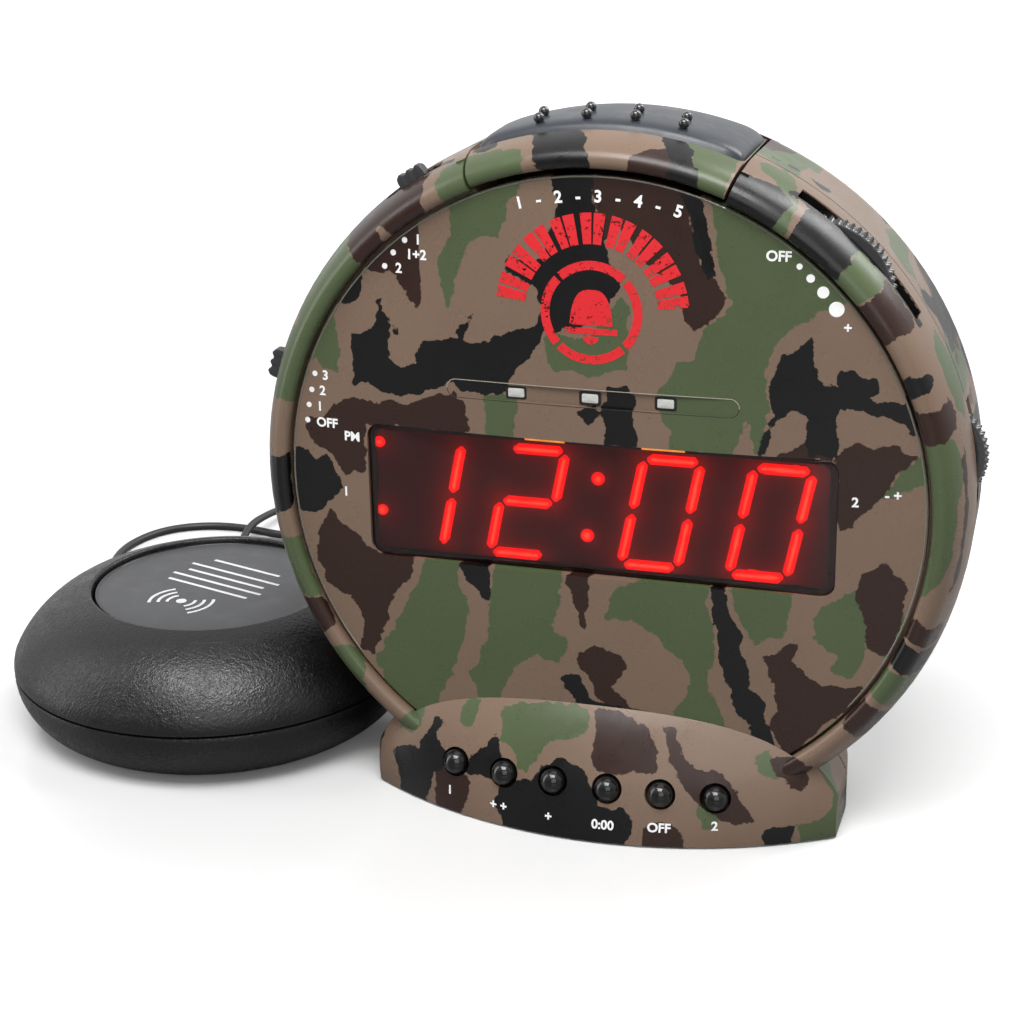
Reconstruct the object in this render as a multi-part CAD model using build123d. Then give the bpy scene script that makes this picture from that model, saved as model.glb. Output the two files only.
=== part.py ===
from build123d import *
import math
import os

# Bed shaker alarm clock: a round digital clock on a moulded base, and a shaker puck on a cord.
# Millimetres, +Z up, the clock's face towards -Y. The origin lies on the surface that it stands on,
# under the middle of the clock's base. A depth is a distance behind the dial plane, and a rise is a
# height above the dial's centre, or below it where it is negative.

# Fits and fasteners
play = 0.35                  # gap between pieces that move past each other
seat_gap = 0.1               # gap between a rigid piece and its seat
running_fit = 0.05           # radial gap of a turning fit
overrun = 6.0                # how far a cutting body runs past what it cuts
small_edge = 0.5             # rounding of moulded edges
screw_radius = 1.3
screw_head_radius = 2.6
screw_head_height = 1.5
boss_wall = 1.7              # wall of a screw boss round its screw

# Dial and ring
dial_height = 75.7           # dial centre above the surface
dial_y = -23.0               # dial plane, set so that the base stands round the origin
body_radius = 77.9           # widest radius of the round body
ring_width = 8.3             # from the panel's edge to the widest radius
panel_radius = body_radius - ring_width
panel_crown = 2.2            # the panel's middle stands this far in front of the dial plane
panel_rim_depth = 1.4
panel_thickness = 2.4
groove_width = 0.8           # dark groove between the panel and the ring
bezel_edge = 1.6             # rounding at the ring's inner edge
crest_depth = -0.7           # foremost line of the ring
shoulder_depth = 13.5        # where the ring reaches its full radius
seam_depth = 16.5            # parting line of the front and rear cases
seam_gap = 0.4
wall = 2.2
ledge_width = 9.1
ledge_inner_radius = panel_radius - ledge_width
ledge_thickness = 1.8

# Rear case
rear_depth = 52.0
rear_taper = 0.7
rear_shoulder_radius = body_radius - rear_taper
rear_shoulder_depth = 37.0
rear_edge_width = 8.4
rear_flat_radius = body_radius - rear_edge_width
rear_shoulder_round = 14.0
rear_edge_round = 6.0
case_screw_inset = 13.9
case_screw_radius_place = body_radius - case_screw_inset
case_screw_angles = (27, 148, 208, 332)
case_boss_split_depth = 30.0
grille_slot_length = 34.0
grille_slot_height = 2.4
grille_pitch = 6.0
grille_slot_shares = (0.68, 0.92, 1.0, 0.92, 0.68)

# Base
base_gap = 0.5               # the shells' lower rim above the surface
base_half_width = 53.0
arch_half_width = 54.5       # the hood's arch is a superellipse of this half width and height
arch_height = 29.4
arch_power = 2.5
base_front_radius = 95.8     # plan radius of the hood's front foot
base_front_depth = -12.0     # foremost point of the foot
hood_top_depth = 1.2
hood_side_depth = 4.6
hood_bulge_share = 0.09
hood_station_shares = (-1.0, -0.93, -0.78, -0.55, -0.28, 0.0, 0.28, 0.55, 0.78, 0.93, 1.0)
side_power = 6
base_plate_thickness = 2.0
base_plate_recess = 0.4
foot_radius = 4.5
foot_height = 2.0
foot_places = ((-36.0, 5.0), (36.0, 5.0), (-27.0, 38.0), (27.0, 38.0))
base_screw_places = ((-45.6, 11.5), (45.6, 11.5), (-45.6, 25.0), (45.6, 25.0))
base_screw_length = 8.0

# Display
window_half_width = 51.3
window_half_height = 15.2
window_rise = -1.8
window_corner = 3.0
window_recess = 0.5
window_thickness = 1.9
window_seat = 0.6            # how far the housing covers the window's edge
housing_wall = 2.6
housing_back_depth = 13.0
display_face_depth = 3.6
module_back_depth = 14.0
module_pin_radius = 0.4
module_pin_count = 12
digit_height = 24.1          # between the middles of the top and bottom segments
digit_width = 12.3
digit_rise = -2.75
digit_lean = 0.205           # sideways lean for each unit of height
digit_places = (-39.2, -16.0, 13.4, 36.9)    # middle of each digit at its middle height
digit_patterns = ("bc", "abged", "abcdef", "abcdef")
segment_width = 2.6
segment_gap = 0.7
segment_height = 0.3
colon_places = ((-0.3, 6.7), (-2.7, -6.4))
colon_radius = 1.45
indicator_places = ((-49.3, 8.3), (-49.2, -7.5))
indicator_radius = 1.2

# Lamp bar
lamp_rise = 23.1
lamp_bar_half_length = 31.3
lamp_bar_height = 3.6
lamp_bar_recess = 0.7
lamp_bar_middle = -0.9
lamp_pitch = 16.1
lamp_width = 3.9
lamp_height = 2.3
lamp_front_recess = 0.3
lamp_board_depth = 2.0
lamp_board_thickness = 1.2
lamp_board_half_length = 25.0
lamp_board_height = 7.0
lamp_post_radius = 1.6
lamp_post_place = 23.0

# Snooze bar and pad
snooze_half_angle = 21.7
snooze_side_gap = 0.75
snooze_travel = 0.9
snooze_inner_gap = 1.4       # from the panel's edge to the bar
snooze_inner_radius = panel_radius + snooze_inner_gap
snooze_lip_depth = 3.5
deck_drop = 1.0              # of the deck below the widest radius
deck_thickness = 4.4
deck_outer_radius = body_radius - deck_drop
deck_inner_radius = deck_outer_radius - deck_thickness
pad_front_depth = 8.0
pad_rear_depth = 35.0
pad_height = 2.8
pad_radius = deck_outer_radius + pad_height
pad_slope = 2.2
bump_radius = 1.15
bump_rise = 0.9
bump_angles = (101.0, 93.6, 86.2, 78.9)
bump_depths = (12.0, 20.5)
shelf_drop = 6.5             # from the deck to the shelf below it
shelf_inner_radius = deck_inner_radius - shelf_drop
shelf_thickness = 1.8
tub_wall = 1.8
snooze_post_place = 18.0
snooze_post_radius = 2.0
snooze_post_reach = 4.0      # past the shelf
snooze_post_end_radius = shelf_inner_radius - snooze_post_reach
snooze_post_depth = 26.0
snooze_peg_radius = 1.2
snooze_peg_reach = 1.2

# Push switches under the snooze bar and the keys
push_switch_size = 6.0
push_switch_height = 3.2
push_bore_depth = 2.4

# Keys
key_height = 12.7            # of the datum on the hood, at the middle
key_tilt = 20.0              # the keys point this far above the horizontal
key_places = (-31.3, -19.3, -7.7, 4.6, 16.3, 28.1)
key_drops = (0.2, 0.15, 0.0, 0.15, 0.4, 0.8)
key_radius = 2.9
key_gap = 0.45
key_stand = 2.3              # how far the dome stands in front of the hood
key_travel = 1.0
key_boss_radius = 6.0
key_boss_depth = 4.4
key_flange_radius = 4.2
key_flange_thickness = 1.2
key_stem_radius = 1.2
key_board_depth = 15.3       # behind the datum, along the keys
key_board_half_length = 41.0
key_board_height = 7.4
key_board_thickness = 1.2
key_peg_place = 38.6
key_peg_radius = 1.8
key_peg_drop = 0.4

# Thumbwheels
volume_angle = 46.0
volume_radius = 16.0
volume_stand = 1.7           # past the widest radius
volume_reach = body_radius + volume_stand
volume_near_depth = 7.0
volume_far_depth = 10.6
volume_slot_half_angle = 12.8
volume_teeth = 64
tone_angle = 8.5
tone_radius = 12.5
tone_stand = 2.6
tone_reach = body_radius + tone_stand
tone_near_depth = 17.2
tone_far_depth = 20.8
tone_slot_half_angle = 8.5
tone_teeth = 50
tooth_depth = 0.5
pot_radius = 6.5
pot_shaft_radius = 2.5
wheel_range = 135.0          # each way from the middle
pot_tab_width = 6.0
pot_tab_thickness = 1.2
tone_pot_back_depth = 28.0

# Slide switches on the ring
slide_depth = 8.7
slide_knob_length = 6.4
slide_knob_width = 2.8
slide_knob_stand = 2.0       # past the widest radius
slide_knob_height = 8.3
slide_knob_outer_radius = body_radius + slide_knob_stand
slide_knob_inner_radius = slide_knob_outer_radius - slide_knob_height
slide_groove = 0.7
slide_pitch = 3.7            # from one position to the next
alarm_angle = 122.5
alarm_positions = (-1, 1)    # pitches either side of rest
mode_angle = 163.0
mode_positions = (-1, 2)
slide_body_length = 20.0
slide_body_width = 5.6
slide_body_inset = 3.5
slide_body_height = 6.4
slide_body_outer_radius = body_radius - slide_body_inset
slide_body_inner_radius = slide_body_outer_radius - slide_body_height

# Boards
board_half_width = 50.0
board_half_height = 37.0
board_near_depth = 24.0
board_thickness = 1.6
board_screw_place = (36.0, 31.0)
board_screw_length = 8.0
post_radius = 3.0
chip_size = 12.0
chip_height = 2.4
capacitor_radius = 4.0
capacitor_height = 7.0
capacitor_places = ((-38.0, -9.0), (-38.0, 2.0))
chip_place = (-14.0, 9.0)

# Speaker
speaker_rise = 20.0
speaker_radius = 25.0
speaker_frame_depth = 6.0
speaker_cone_thickness = 0.8
speaker_magnet_radius = 12.0
speaker_magnet_depth = 7.0
speaker_rim = 2.6

# Battery, its tray and door
battery_length = 46.4
battery_width = 26.5
battery_thickness = 17.5
battery_rise = -23.0
battery_middle = 1.0
battery_gap = 0.6
battery_stud_radius = 2.8
battery_stud_length = 1.9
tray_wall = 1.2
contact_thickness = 1.0
door_thickness = 2.0
door_half_width = 26.5
door_height = 30.0
door_gap = 0.5
door_pin_radius = 0.8
door_knuckle_radius = 1.6
door_pin_reach = 2.4
door_range = 90.0
door_grip_width = 12.0
door_grip_depth = 0.6
hinge_block = 3.0

# Jacks
jack_place = 22.0
jack_rise = -48.0
jack_body_size = 9.0
jack_body_depth = 11.0
jack_collar_radius = 3.9
power_bore_radius = 2.9
power_bore_depth = 9.0
power_pin_radius = 0.9
shaker_bore_radius = 1.8

# Shaker
shaker_x = -106.0
shaker_y = 9.0
shaker_radius = 49.3
shaker_seam_height = 15.0
shaker_seam_gap = 0.4
shaker_wall = 2.4
shaker_top_height = 33.2
shaker_label_height = 32.3
shaker_label_radius = 28.6
shaker_label_thickness = 0.8
shaker_rim_radius = 30.6
shaker_flat_radius = 34.5
shaker_crease_radius = 48.4
shaker_crease_height = 19.3
shaker_lower_round = 17.0
dome_middle_shares = (0.52, 0.69)
shaker_screw_place = 31.0
shaker_screw_angles = (30, 150, 270)
shaker_screw_length = 16.0
shaker_rib_height = 1.6

# Shaker's motor
motor_radius = 10.5
motor_length = 26.0
motor_height = 15.6          # of its axis above the surface
motor_middle = -7.0
motor_neck_radius = 3.5
motor_neck_length = 2.0
shaft_radius = 1.15
shaft_length = 14.0
weight_radius = 11.0
weight_thickness = 8.0
weight_hub_radius = 3.4
weight_place = 6.0           # from the motor's face to the weight
clamp_width = 5.0
clamp_wall = 2.4
clamp_places = (-9.0, 8.0)
clamp_half_width = 15.0

# Cord
cord_radius = 1.1
cord_floor = 1.15            # height of the cord's middle where it lies on the surface
grommet_angle = 137.0
grommet_height = 9.0
grommet_inner_place = 44.5
grommet_outer_place = 57.5
grommet_root_radius = 3.0
grommet_tip_radius = 1.9
plug_tip_radius = 1.5
plug_tip_length = 9.0
plug_body_radius = 3.6
plug_body_length = 14.0
plug_relief_length = 9.0
plug_relief_radius = 1.9

# Cord coil, put away behind the clock
coil_x = -2.0
coil_y = 92.0
coil_middle_radius = 13.2
coil_pitch = 3.05
coil_turns_in_layer = 4
coil_layers = 4
coil_lead = 2.2              # straight run at each end of the coil
quarter_steps = 4
tie_width = 4.0
tie_thickness = 0.9
tie_gap = 0.35

# Route of the cord from the shaker to the coil, and from the coil to the plug
grommet_lead = 8.5           # straight run as the cord leaves the strain relief
shaker_route = [(-160.6, 62.6, 4.2), (-167.8, 72.6, 1.15), (-174.2, 85.5, 1.15), (-176.6, 99.5, 1.15),
                (-172.0, 113.5, 1.15), (-161.5, 121.0, 1.15), (-148.0, 122.4, 1.15),
                (-134.5, 118.6, 1.15), (-121.0, 121.5, 1.15), (-113.5, 133.5, 1.15),
                (-119.0, 146.5, 1.15), (-132.0, 148.5, 1.15), (-140.5, 138.5, 2.6),
                (-141.4, 126.5, 5.0), (-143.6, 114.5, 5.0), (-141.5, 102.5, 2.2),
                (-131.5, 93.5, 1.15), (-115.5, 88.5, 1.15), (-95.5, 86.5, 1.15),
                (-72.0, 83.5, 1.15), (-46.0, 76.0, 1.15), (-23.0, 72.7, 1.15)]
plug_lead = 8.0              # straight run into the plug
coil_leave_run = 11.5        # straight run as the cord leaves the coil
plug_route = [(-28.0, 106.8, 7.4), (-36.0, 97.2, 3.6), (-37.0, 85.5, 5.4),
              (-31.5, 76.5, 13.4), (-25.0, 69.6, 22.4)]

FRONT = Plane(origin=(0, dial_y, dial_height), x_dir=(1, 0, 0), z_dir=(0, -1, 0))
PROFILE = Plane(origin=(0, dial_y, dial_height), x_dir=(1, 0, 0), z_dir=(0, 0, 1))
DIAL_AXIS = Axis((0, dial_y, dial_height), (0, 1, 0))
SHAKER_AXIS = Axis((shaker_x, shaker_y, 0), (0, 0, 1))


# Helpers

def slab(sketch, near, far):
    """A front-view outline, extruded between two depths behind the dial plane."""
    return extrude(FRONT.offset(-far) * sketch, amount=far - near)


def spun(edges):
    """A profile in (radius, depth), turned about the dial's axis."""
    return revolve(PROFILE * make_face(edges), axis=DIAL_AXIS)


def disc(radius, near, far, x=0, rise=0):
    """A round piece whose axis is square to the dial."""
    return slab(Pos(x, rise) * Circle(radius), near, far)


def block(x, rise, width, height, near, far):
    """A rectangular piece in front view, between two depths."""
    return slab(Pos(x, rise) * Rectangle(width, height), near, far)


def upright(x, y, radius, low, high):
    """A vertical cylinder."""
    return Pos(x, y, low) * Cylinder(radius, high - low, align=(Align.CENTER, Align.CENTER, Align.MIN))


def polar(radius, angle):
    """Front-view point at an angle from the right-hand side."""
    return (radius * math.cos(math.radians(angle)), radius * math.sin(math.radians(angle)))


def sector(inner, outer, middle, half):
    """Front-view ring sector between two radii and two angles."""
    return make_face([
        ThreePointArc(polar(outer, middle - half), polar(outer, middle), polar(outer, middle + half)),
        Line(polar(outer, middle + half), polar(inner, middle + half)),
        ThreePointArc(polar(inner, middle + half), polar(inner, middle), polar(inner, middle - half)),
        Line(polar(inner, middle - half), polar(outer, middle - half)),
    ])


def radial_plane(angle, radius, depth):
    """Plane on the round body: x along the tangent, z outwards."""
    x, rise = polar(radius, angle)
    tangent = (-math.sin(math.radians(angle)), 0, math.cos(math.radians(angle)))
    outwards = (math.cos(math.radians(angle)), 0, math.sin(math.radians(angle)))
    return Plane(origin=(x, dial_y + depth, dial_height + rise), x_dir=tangent, z_dir=outwards)


def on_plane(plane, shape):
    """A shape modelled about the origin, moved onto a plane."""
    return plane.location * shape


def write(name, shape):
    """One STEP file for each node."""
    export_step(shape, f"parts/{name}.step")


# Dial panel

dome_sag = panel_crown + panel_rim_depth
dome_radius = (panel_radius ** 2 + dome_sag ** 2) / (2 * dome_sag)
ring_inner_radius = panel_radius + groove_width
ledge_depth = panel_rim_depth + panel_thickness + seat_gap
ledge_back = ledge_depth + ledge_thickness
front_seam = seam_depth - seam_gap / 2
rear_seam = seam_depth + seam_gap / 2


def dome_depth(radius):
    """Depth of the panel's front at a distance from its middle."""
    return dome_radius - math.sqrt(dome_radius ** 2 - radius ** 2) - panel_crown


def dome_layer(radius, front, back):
    """A disc that follows the panel's dome, between two offsets behind its front."""
    half = radius / 2
    return spun([
        ThreePointArc((0, dome_depth(0) + front), (half, dome_depth(half) + front),
                      (radius, dome_depth(radius) + front)),
        Line((radius, dome_depth(radius) + front), (radius, dome_depth(radius) + back)),
        ThreePointArc((radius, dome_depth(radius) + back), (half, dome_depth(half) + back),
                      (0, dome_depth(0) + back)),
        Line((0, dome_depth(0) + back), (0, dome_depth(0) + front)),
    ])


def window_outline(grow):
    """Rounded rectangle of the display window, grown or shrunk all round."""
    return Pos(0, window_rise) * RectangleRounded(
        2 * (window_half_width + grow), 2 * (window_half_height + grow), window_corner + grow)


def arch_level(x, inset):
    """Height of the hood's arch above the base's rim."""
    share = abs(x) / (arch_half_width - inset)
    return (arch_height - inset) * (1 - share ** arch_power) ** (1 / arch_power)


def arch_outline(half_width, inset):
    """Front-view outline of the arch, from below the surface up."""
    shares = [s / 12 for s in range(-12, 13)]
    low = -dial_height - overrun
    top = [(s * half_width, arch_level(s * half_width, inset) + base_gap - dial_height) for s in shares]
    return make_face([Spline(top), Line(top[-1], (half_width, low)),
                      Line((half_width, low), (-half_width, low)), Line((-half_width, low), top[0])])


def lamp_places():
    """Middles of the three lamps."""
    return [(lamp_bar_middle + step * lamp_pitch, lamp_rise) for step in (-1, 0, 1)]


def make_front_panel():
    """Domed dial with its window, its sunk lamp bar and three lamp holes."""
    panel = dome_layer(panel_radius, 0, panel_thickness)
    panel -= slab(window_outline(0), -overrun, overrun)
    bar = Pos(lamp_bar_middle, lamp_rise) * SlotOverall(2 * lamp_bar_half_length, lamp_bar_height)
    panel -= slab(bar, -overrun, dome_depth(lamp_rise) + lamp_bar_recess)
    for x, rise in lamp_places():
        panel -= block(x, rise, lamp_width, lamp_height, -overrun, overrun)
    trim_inset = panel_thickness + wall
    panel -= slab(arch_outline(base_half_width - trim_inset, trim_inset), -overrun, overrun)
    for side in (-1, 1):
        post = disc(lamp_post_radius, dome_depth(lamp_rise) + panel_thickness - seat_gap,
                    lamp_board_depth, side * lamp_post_place, lamp_rise)
        panel += post
    return panel


def make_lamp_lenses():
    """Three small clear lamps that stand on the lamp board."""
    front = dome_depth(lamp_rise) + lamp_bar_recess - lamp_front_recess
    lens = block(0, 0, lamp_width - 2 * seat_gap, lamp_height - 2 * seat_gap, front, lamp_board_depth)
    return Compound(children=[Pos(x, 0, rise) * lens for x, rise in lamp_places()])


def make_lamp_board():
    """Narrow board behind the lamp bar."""
    return block(0, lamp_rise, 2 * lamp_board_half_length, lamp_board_height,
                 lamp_board_depth, lamp_board_depth + lamp_board_thickness)


# Display

def make_display_window():
    """Smoked window, bent like the panel and set a little behind its front."""
    layer = dome_layer(panel_radius, window_recess, window_recess + window_thickness)
    return layer & slab(window_outline(-seat_gap), -overrun, overrun)


def make_display_housing():
    """Dark frame behind the window, open to the back for the LED module."""
    outer = slab(window_outline(housing_wall), -overrun, housing_back_depth)
    outer -= slab(window_outline(-window_seat), -2 * overrun, housing_back_depth + overrun)
    return outer - dome_layer(panel_radius, -3 * overrun, panel_thickness + seat_gap)


def segment(width, length, angle):
    """Six-sided segment bar with pointed ends."""
    point = width / 2
    bar = Polyline((-length / 2, 0), (-length / 2 + point, point), (length / 2 - point, point),
                   (length / 2, 0), (length / 2 - point, -point), (-length / 2 + point, -point),
                   close=True)
    return Rot(0, 0, angle) * make_face(bar)


def digit_segments(middle, pattern):
    """Lit segments of one leaning digit, as front-view outlines."""
    half = digit_height / 2
    across = digit_width - 2 * segment_gap
    down = half - 2 * segment_gap
    lean_angle = math.degrees(math.atan(digit_lean))
    places = {
        "a": (0, half, across, 0), "g": (0, 0, across, 0), "d": (0, -half, across, 0),
        "b": (digit_width / 2, half / 2, down, 90), "c": (digit_width / 2, -half / 2, down, 90),
        "f": (-digit_width / 2, half / 2, down, 90), "e": (-digit_width / 2, -half / 2, down, 90),
    }
    bars = []
    for name in pattern:
        x, rise, length, angle = places[name]
        turn = angle - lean_angle if angle else 0
        x_leaned = middle + x + rise * digit_lean
        bars.append(Pos(x_leaned, digit_rise + rise) * segment(segment_width, length, turn))
    return bars


def make_led_module():
    """Display body with its pins."""
    body = slab(window_outline(-window_seat - seat_gap), display_face_depth, module_back_depth)
    pin_pitch = window_half_width * 2 / (module_pin_count + 2)
    for side in (-1, 1):
        for step in range(module_pin_count):
            x = (step - (module_pin_count - 1) / 2) * pin_pitch
            rise = window_rise + side * (window_half_height - 2 * housing_wall)
            body += disc(module_pin_radius, module_back_depth, board_near_depth, x, rise)
    return body


def make_led_segments():
    """Lit bars, colon and indicator dots on the module's face."""
    lit = []
    for middle, pattern in zip(digit_places, digit_patterns):
        lit += digit_segments(middle, pattern)
    lit += [Pos(x, digit_rise + rise) * Circle(colon_radius) for x, rise in colon_places]
    lit += [Pos(x, rise) * Circle(indicator_radius) for x, rise in indicator_places]
    near = display_face_depth - segment_height
    return Compound(children=[slab(face, near, display_face_depth) for face in lit])


# Round body and hood

def ring_edge(inner):
    """Rounded front of the ring from its inner edge to its full radius, as (radius, depth) edges."""
    crest = inner + bezel_edge
    return [
        EllipticalCenterArc((crest, crest_depth + bezel_edge), bezel_edge, bezel_edge,
                            start_angle=180, arc_size=90),
        EllipticalCenterArc((crest, shoulder_depth), body_radius - crest, shoulder_depth - crest_depth,
                            start_angle=-90, arc_size=90),
    ]


def make_ring():
    """Ring round the dial with the ledge that the panel rests on."""
    inner_wall = body_radius - wall
    return spun(ring_edge(ring_inner_radius) + [
        Line((body_radius, shoulder_depth), (body_radius, front_seam)),
        Line((body_radius, front_seam), (inner_wall, front_seam)),
        Line((inner_wall, front_seam), (inner_wall, ledge_back)),
        Line((inner_wall, ledge_back), (ledge_inner_radius, ledge_back)),
        Line((ledge_inner_radius, ledge_back), (ledge_inner_radius, ledge_depth)),
        Line((ledge_inner_radius, ledge_depth), (ring_inner_radius, ledge_depth)),
        Line((ring_inner_radius, ledge_depth), (ring_inner_radius, crest_depth + bezel_edge)),
    ])


def hood_front(x, inset):
    """Top, middle and foot of the hood's front in the plane at x, as (y, height) points."""
    side_share = abs(x) / (base_half_width - inset)
    top_depth = hood_top_depth + (hood_side_depth - hood_top_depth) * side_share ** side_power
    foot_depth = base_front_depth + base_front_radius - math.sqrt(base_front_radius ** 2 - x ** 2)
    top = Vector(dial_y + top_depth + inset, base_gap + arch_level(x, inset))
    foot = Vector(dial_y + foot_depth + inset, base_gap)
    chord = top - foot
    outwards = Vector(-chord.Y, chord.X)
    middle = (top + foot) / 2 + outwards * hood_bulge_share
    return top, middle, foot


def hood_section(x, inset, low, back):
    """Section of the hood in the plane at x."""
    top, middle, foot = hood_front(x, inset)
    rim = Vector(foot.X, low)
    corner = Vector(back, low)
    crown = Vector(back, top.Y)
    plane = Plane(origin=(x, 0, 0), x_dir=(0, 1, 0), z_dir=(1, 0, 0))
    edges = [ThreePointArc(top, middle, foot), Line(foot, rim), Line(rim, corner),
             Line(corner, crown), Line(crown, top)]
    return plane * make_face(edges)


def hood_body(inset, low, back):
    """Solid hood, lofted through sections across the base."""
    half = base_half_width - inset
    return loft([hood_section(share * half, inset, low, back) for share in hood_station_shares])


def hood_solid():
    """Outer form of the hood."""
    body = hood_body(0, 0, dial_y + front_seam)
    return body - Pos(0, 0, base_gap) * Box(4 * body_radius, 4 * body_radius, overrun,
                                            align=(Align.CENTER, Align.CENTER, Align.MAX))


def hood_hollow(inset):
    """Space inside the hood, open below and to the back."""
    return hood_body(inset, -overrun, dial_y + front_seam + overrun)


def snooze_opening(near, far):
    """Space that the snooze bar moves in."""
    half = snooze_half_angle + math.degrees(snooze_side_gap / body_radius)
    return slab(sector(shelf_inner_radius + shelf_thickness, body_radius + overrun, 90, half), near, far)


def snooze_tub(near, far):
    """Shelf and side walls round the snooze bar's space."""
    half = snooze_half_angle + math.degrees((snooze_side_gap + tub_wall) / body_radius)
    block_out = slab(sector(shelf_inner_radius, body_radius - wall / 2, 90, half), near, far)
    block_out -= snooze_opening(near - overrun, far + overrun)
    for side in (-1, 1):
        block_out -= upright(side * snooze_post_place, dial_y + snooze_post_depth,
                             snooze_post_radius + play, dial_height, dial_height + 2 * body_radius)
    return block_out


def key_frame():
    """Plane at the keys' datum: x across, y up along the board, z outwards along the keys."""
    tilt = math.radians(key_tilt)
    y = hood_surface_y(0, key_height)
    return Plane(origin=(0, y, key_height), x_dir=(1, 0, 0),
                 z_dir=(0, -math.cos(tilt), math.sin(tilt)))


def hood_surface_y(x, height):
    """Place of the hood's front at x and a height, from the circle of its section."""
    top, middle, foot = hood_front(x, 0)
    side_a, side_b = middle - top, foot - top
    cross = 2 * (side_a.X * side_b.Y - side_a.Y * side_b.X)
    square_a, square_b = side_a.dot(side_a), side_b.dot(side_b)
    centre_y = top.X + (side_b.Y * square_a - side_a.Y * square_b) / cross
    centre_z = top.Y + (side_a.X * square_b - side_b.X * square_a) / cross
    radius = math.hypot(top.X - centre_y, top.Y - centre_z)
    return centre_y - math.sqrt(radius ** 2 - (height - centre_z) ** 2)


def key_points():
    """Where each key's axis meets the hood, in the key frame."""
    frame = key_frame()
    points = []
    for x, drop in zip(key_places, key_drops):
        height = key_height - drop
        points.append(frame.to_local_coords(Vector(x, hood_surface_y(x, height), height)))
    return points


def in_key_frame(x, v, radius, low, high):
    """Cylinder along the keys' direction, between two distances from the datum."""
    piece = Pos(x, v, low) * Cylinder(radius, high - low, align=(Align.CENTER, Align.CENTER, Align.MIN))
    return on_plane(key_frame(), piece)


def make_front_case():
    """Ring and hood in one shell, with bosses for the keys and screws, slots and the snooze tub."""
    hood = hood_solid()
    case = make_ring() + hood
    case -= dome_layer(ring_inner_radius, -seat_gap, ledge_depth - panel_rim_depth)
    case -= disc(ring_inner_radius, panel_rim_depth, ledge_depth)
    case -= disc(ledge_inner_radius, panel_rim_depth, ledge_back)
    case -= disc(body_radius - wall, ledge_back, seam_depth + overrun)
    case -= hood_hollow(wall)
    floor_cut = Box(4 * body_radius, 4 * body_radius, 2 * overrun + base_gap,
                    align=(Align.CENTER, Align.CENTER, Align.MIN))
    case -= Pos(0, 0, -2 * overrun) * floor_cut
    for point in key_points():
        case += in_key_frame(point.X, point.Y, key_boss_radius, point.Z - key_boss_depth,
                             point.Z + overrun) & hood
    for side in (-1, 1):
        case += in_key_frame(side * key_peg_place, -key_peg_drop, key_peg_radius,
                             -key_board_depth, 0) & hood
    for x, depth in base_screw_places[:2]:
        case += upright(x, dial_y + depth, screw_radius + boss_wall,
                        base_gap + base_plate_recess + base_plate_thickness + seat_gap,
                        arch_height) & hood
    for point in key_points():
        case -= in_key_frame(point.X, point.Y, key_radius + key_gap, point.Z - 2 * overrun,
                             point.Z + overrun)
    for x, depth in base_screw_places[:2]:
        case -= upright(x, dial_y + depth, screw_radius + seat_gap, 0, base_screw_length + 2 * overrun / 3)
    for angle in case_screw_angles:
        x, rise = polar(case_screw_radius_place, angle)
        case += disc(screw_radius + boss_wall, ledge_back - seat_gap, case_boss_split_depth, x, rise)
        case -= disc(screw_radius + seat_gap, ledge_back, case_boss_split_depth + overrun, x, rise)
    case -= snooze_opening(-overrun, seam_depth + overrun)
    case += snooze_tub(ledge_depth, front_seam)
    case -= slab(sector(body_radius - 2 * wall, body_radius + overrun, volume_angle,
                        volume_slot_half_angle),
                 volume_near_depth - play, volume_far_depth + play)
    for angle, positions in ((alarm_angle, alarm_positions), (mode_angle, mode_positions)):
        case -= slide_slot(angle, positions, body_radius - 2 * wall, body_radius + overrun)
    return case


def rear_form(inset, near):
    """Rear of the round body as a solid of revolution."""
    radius = body_radius - inset
    shoulder = (rear_shoulder_radius - inset, rear_shoulder_depth)
    edge = (rear_flat_radius - inset, rear_depth - inset)
    side = FilletPolyline((radius, near), shoulder, edge, (0, rear_depth - inset),
                          radius=[rear_shoulder_round, rear_edge_round - inset])
    return spun([side, Line((0, rear_depth - inset), (0, near)), Line((0, near), (radius, near))])


def rear_base(inset, near):
    """Rear of the base: half an ellipse in plan under the hood's arch."""
    start = dial_y + near
    widest = dial_y + rear_seam
    half = base_half_width - inset
    reach = rear_depth - inset - rear_seam
    sides = [] if near == rear_seam else [Line((-half, widest), (-half, start)),
                                          Line((half, start), (half, widest))]
    plan = make_face([EllipticalCenterArc((0, widest), half, reach, start_angle=0, arc_size=180),
                      Line((-half, start), (half, start))] + sides)
    body = Pos(0, 0, -overrun) * extrude(plan, amount=arch_height + 2 * overrun)
    return body & slab(arch_outline(half, inset), near - overrun, rear_depth + overrun)


def door_axis_point():
    """Depth and rise of the battery door's hinge."""
    depth = rear_depth - door_knuckle_radius
    rise = battery_rise - door_height / 2 - door_knuckle_radius
    return depth, rise


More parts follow.
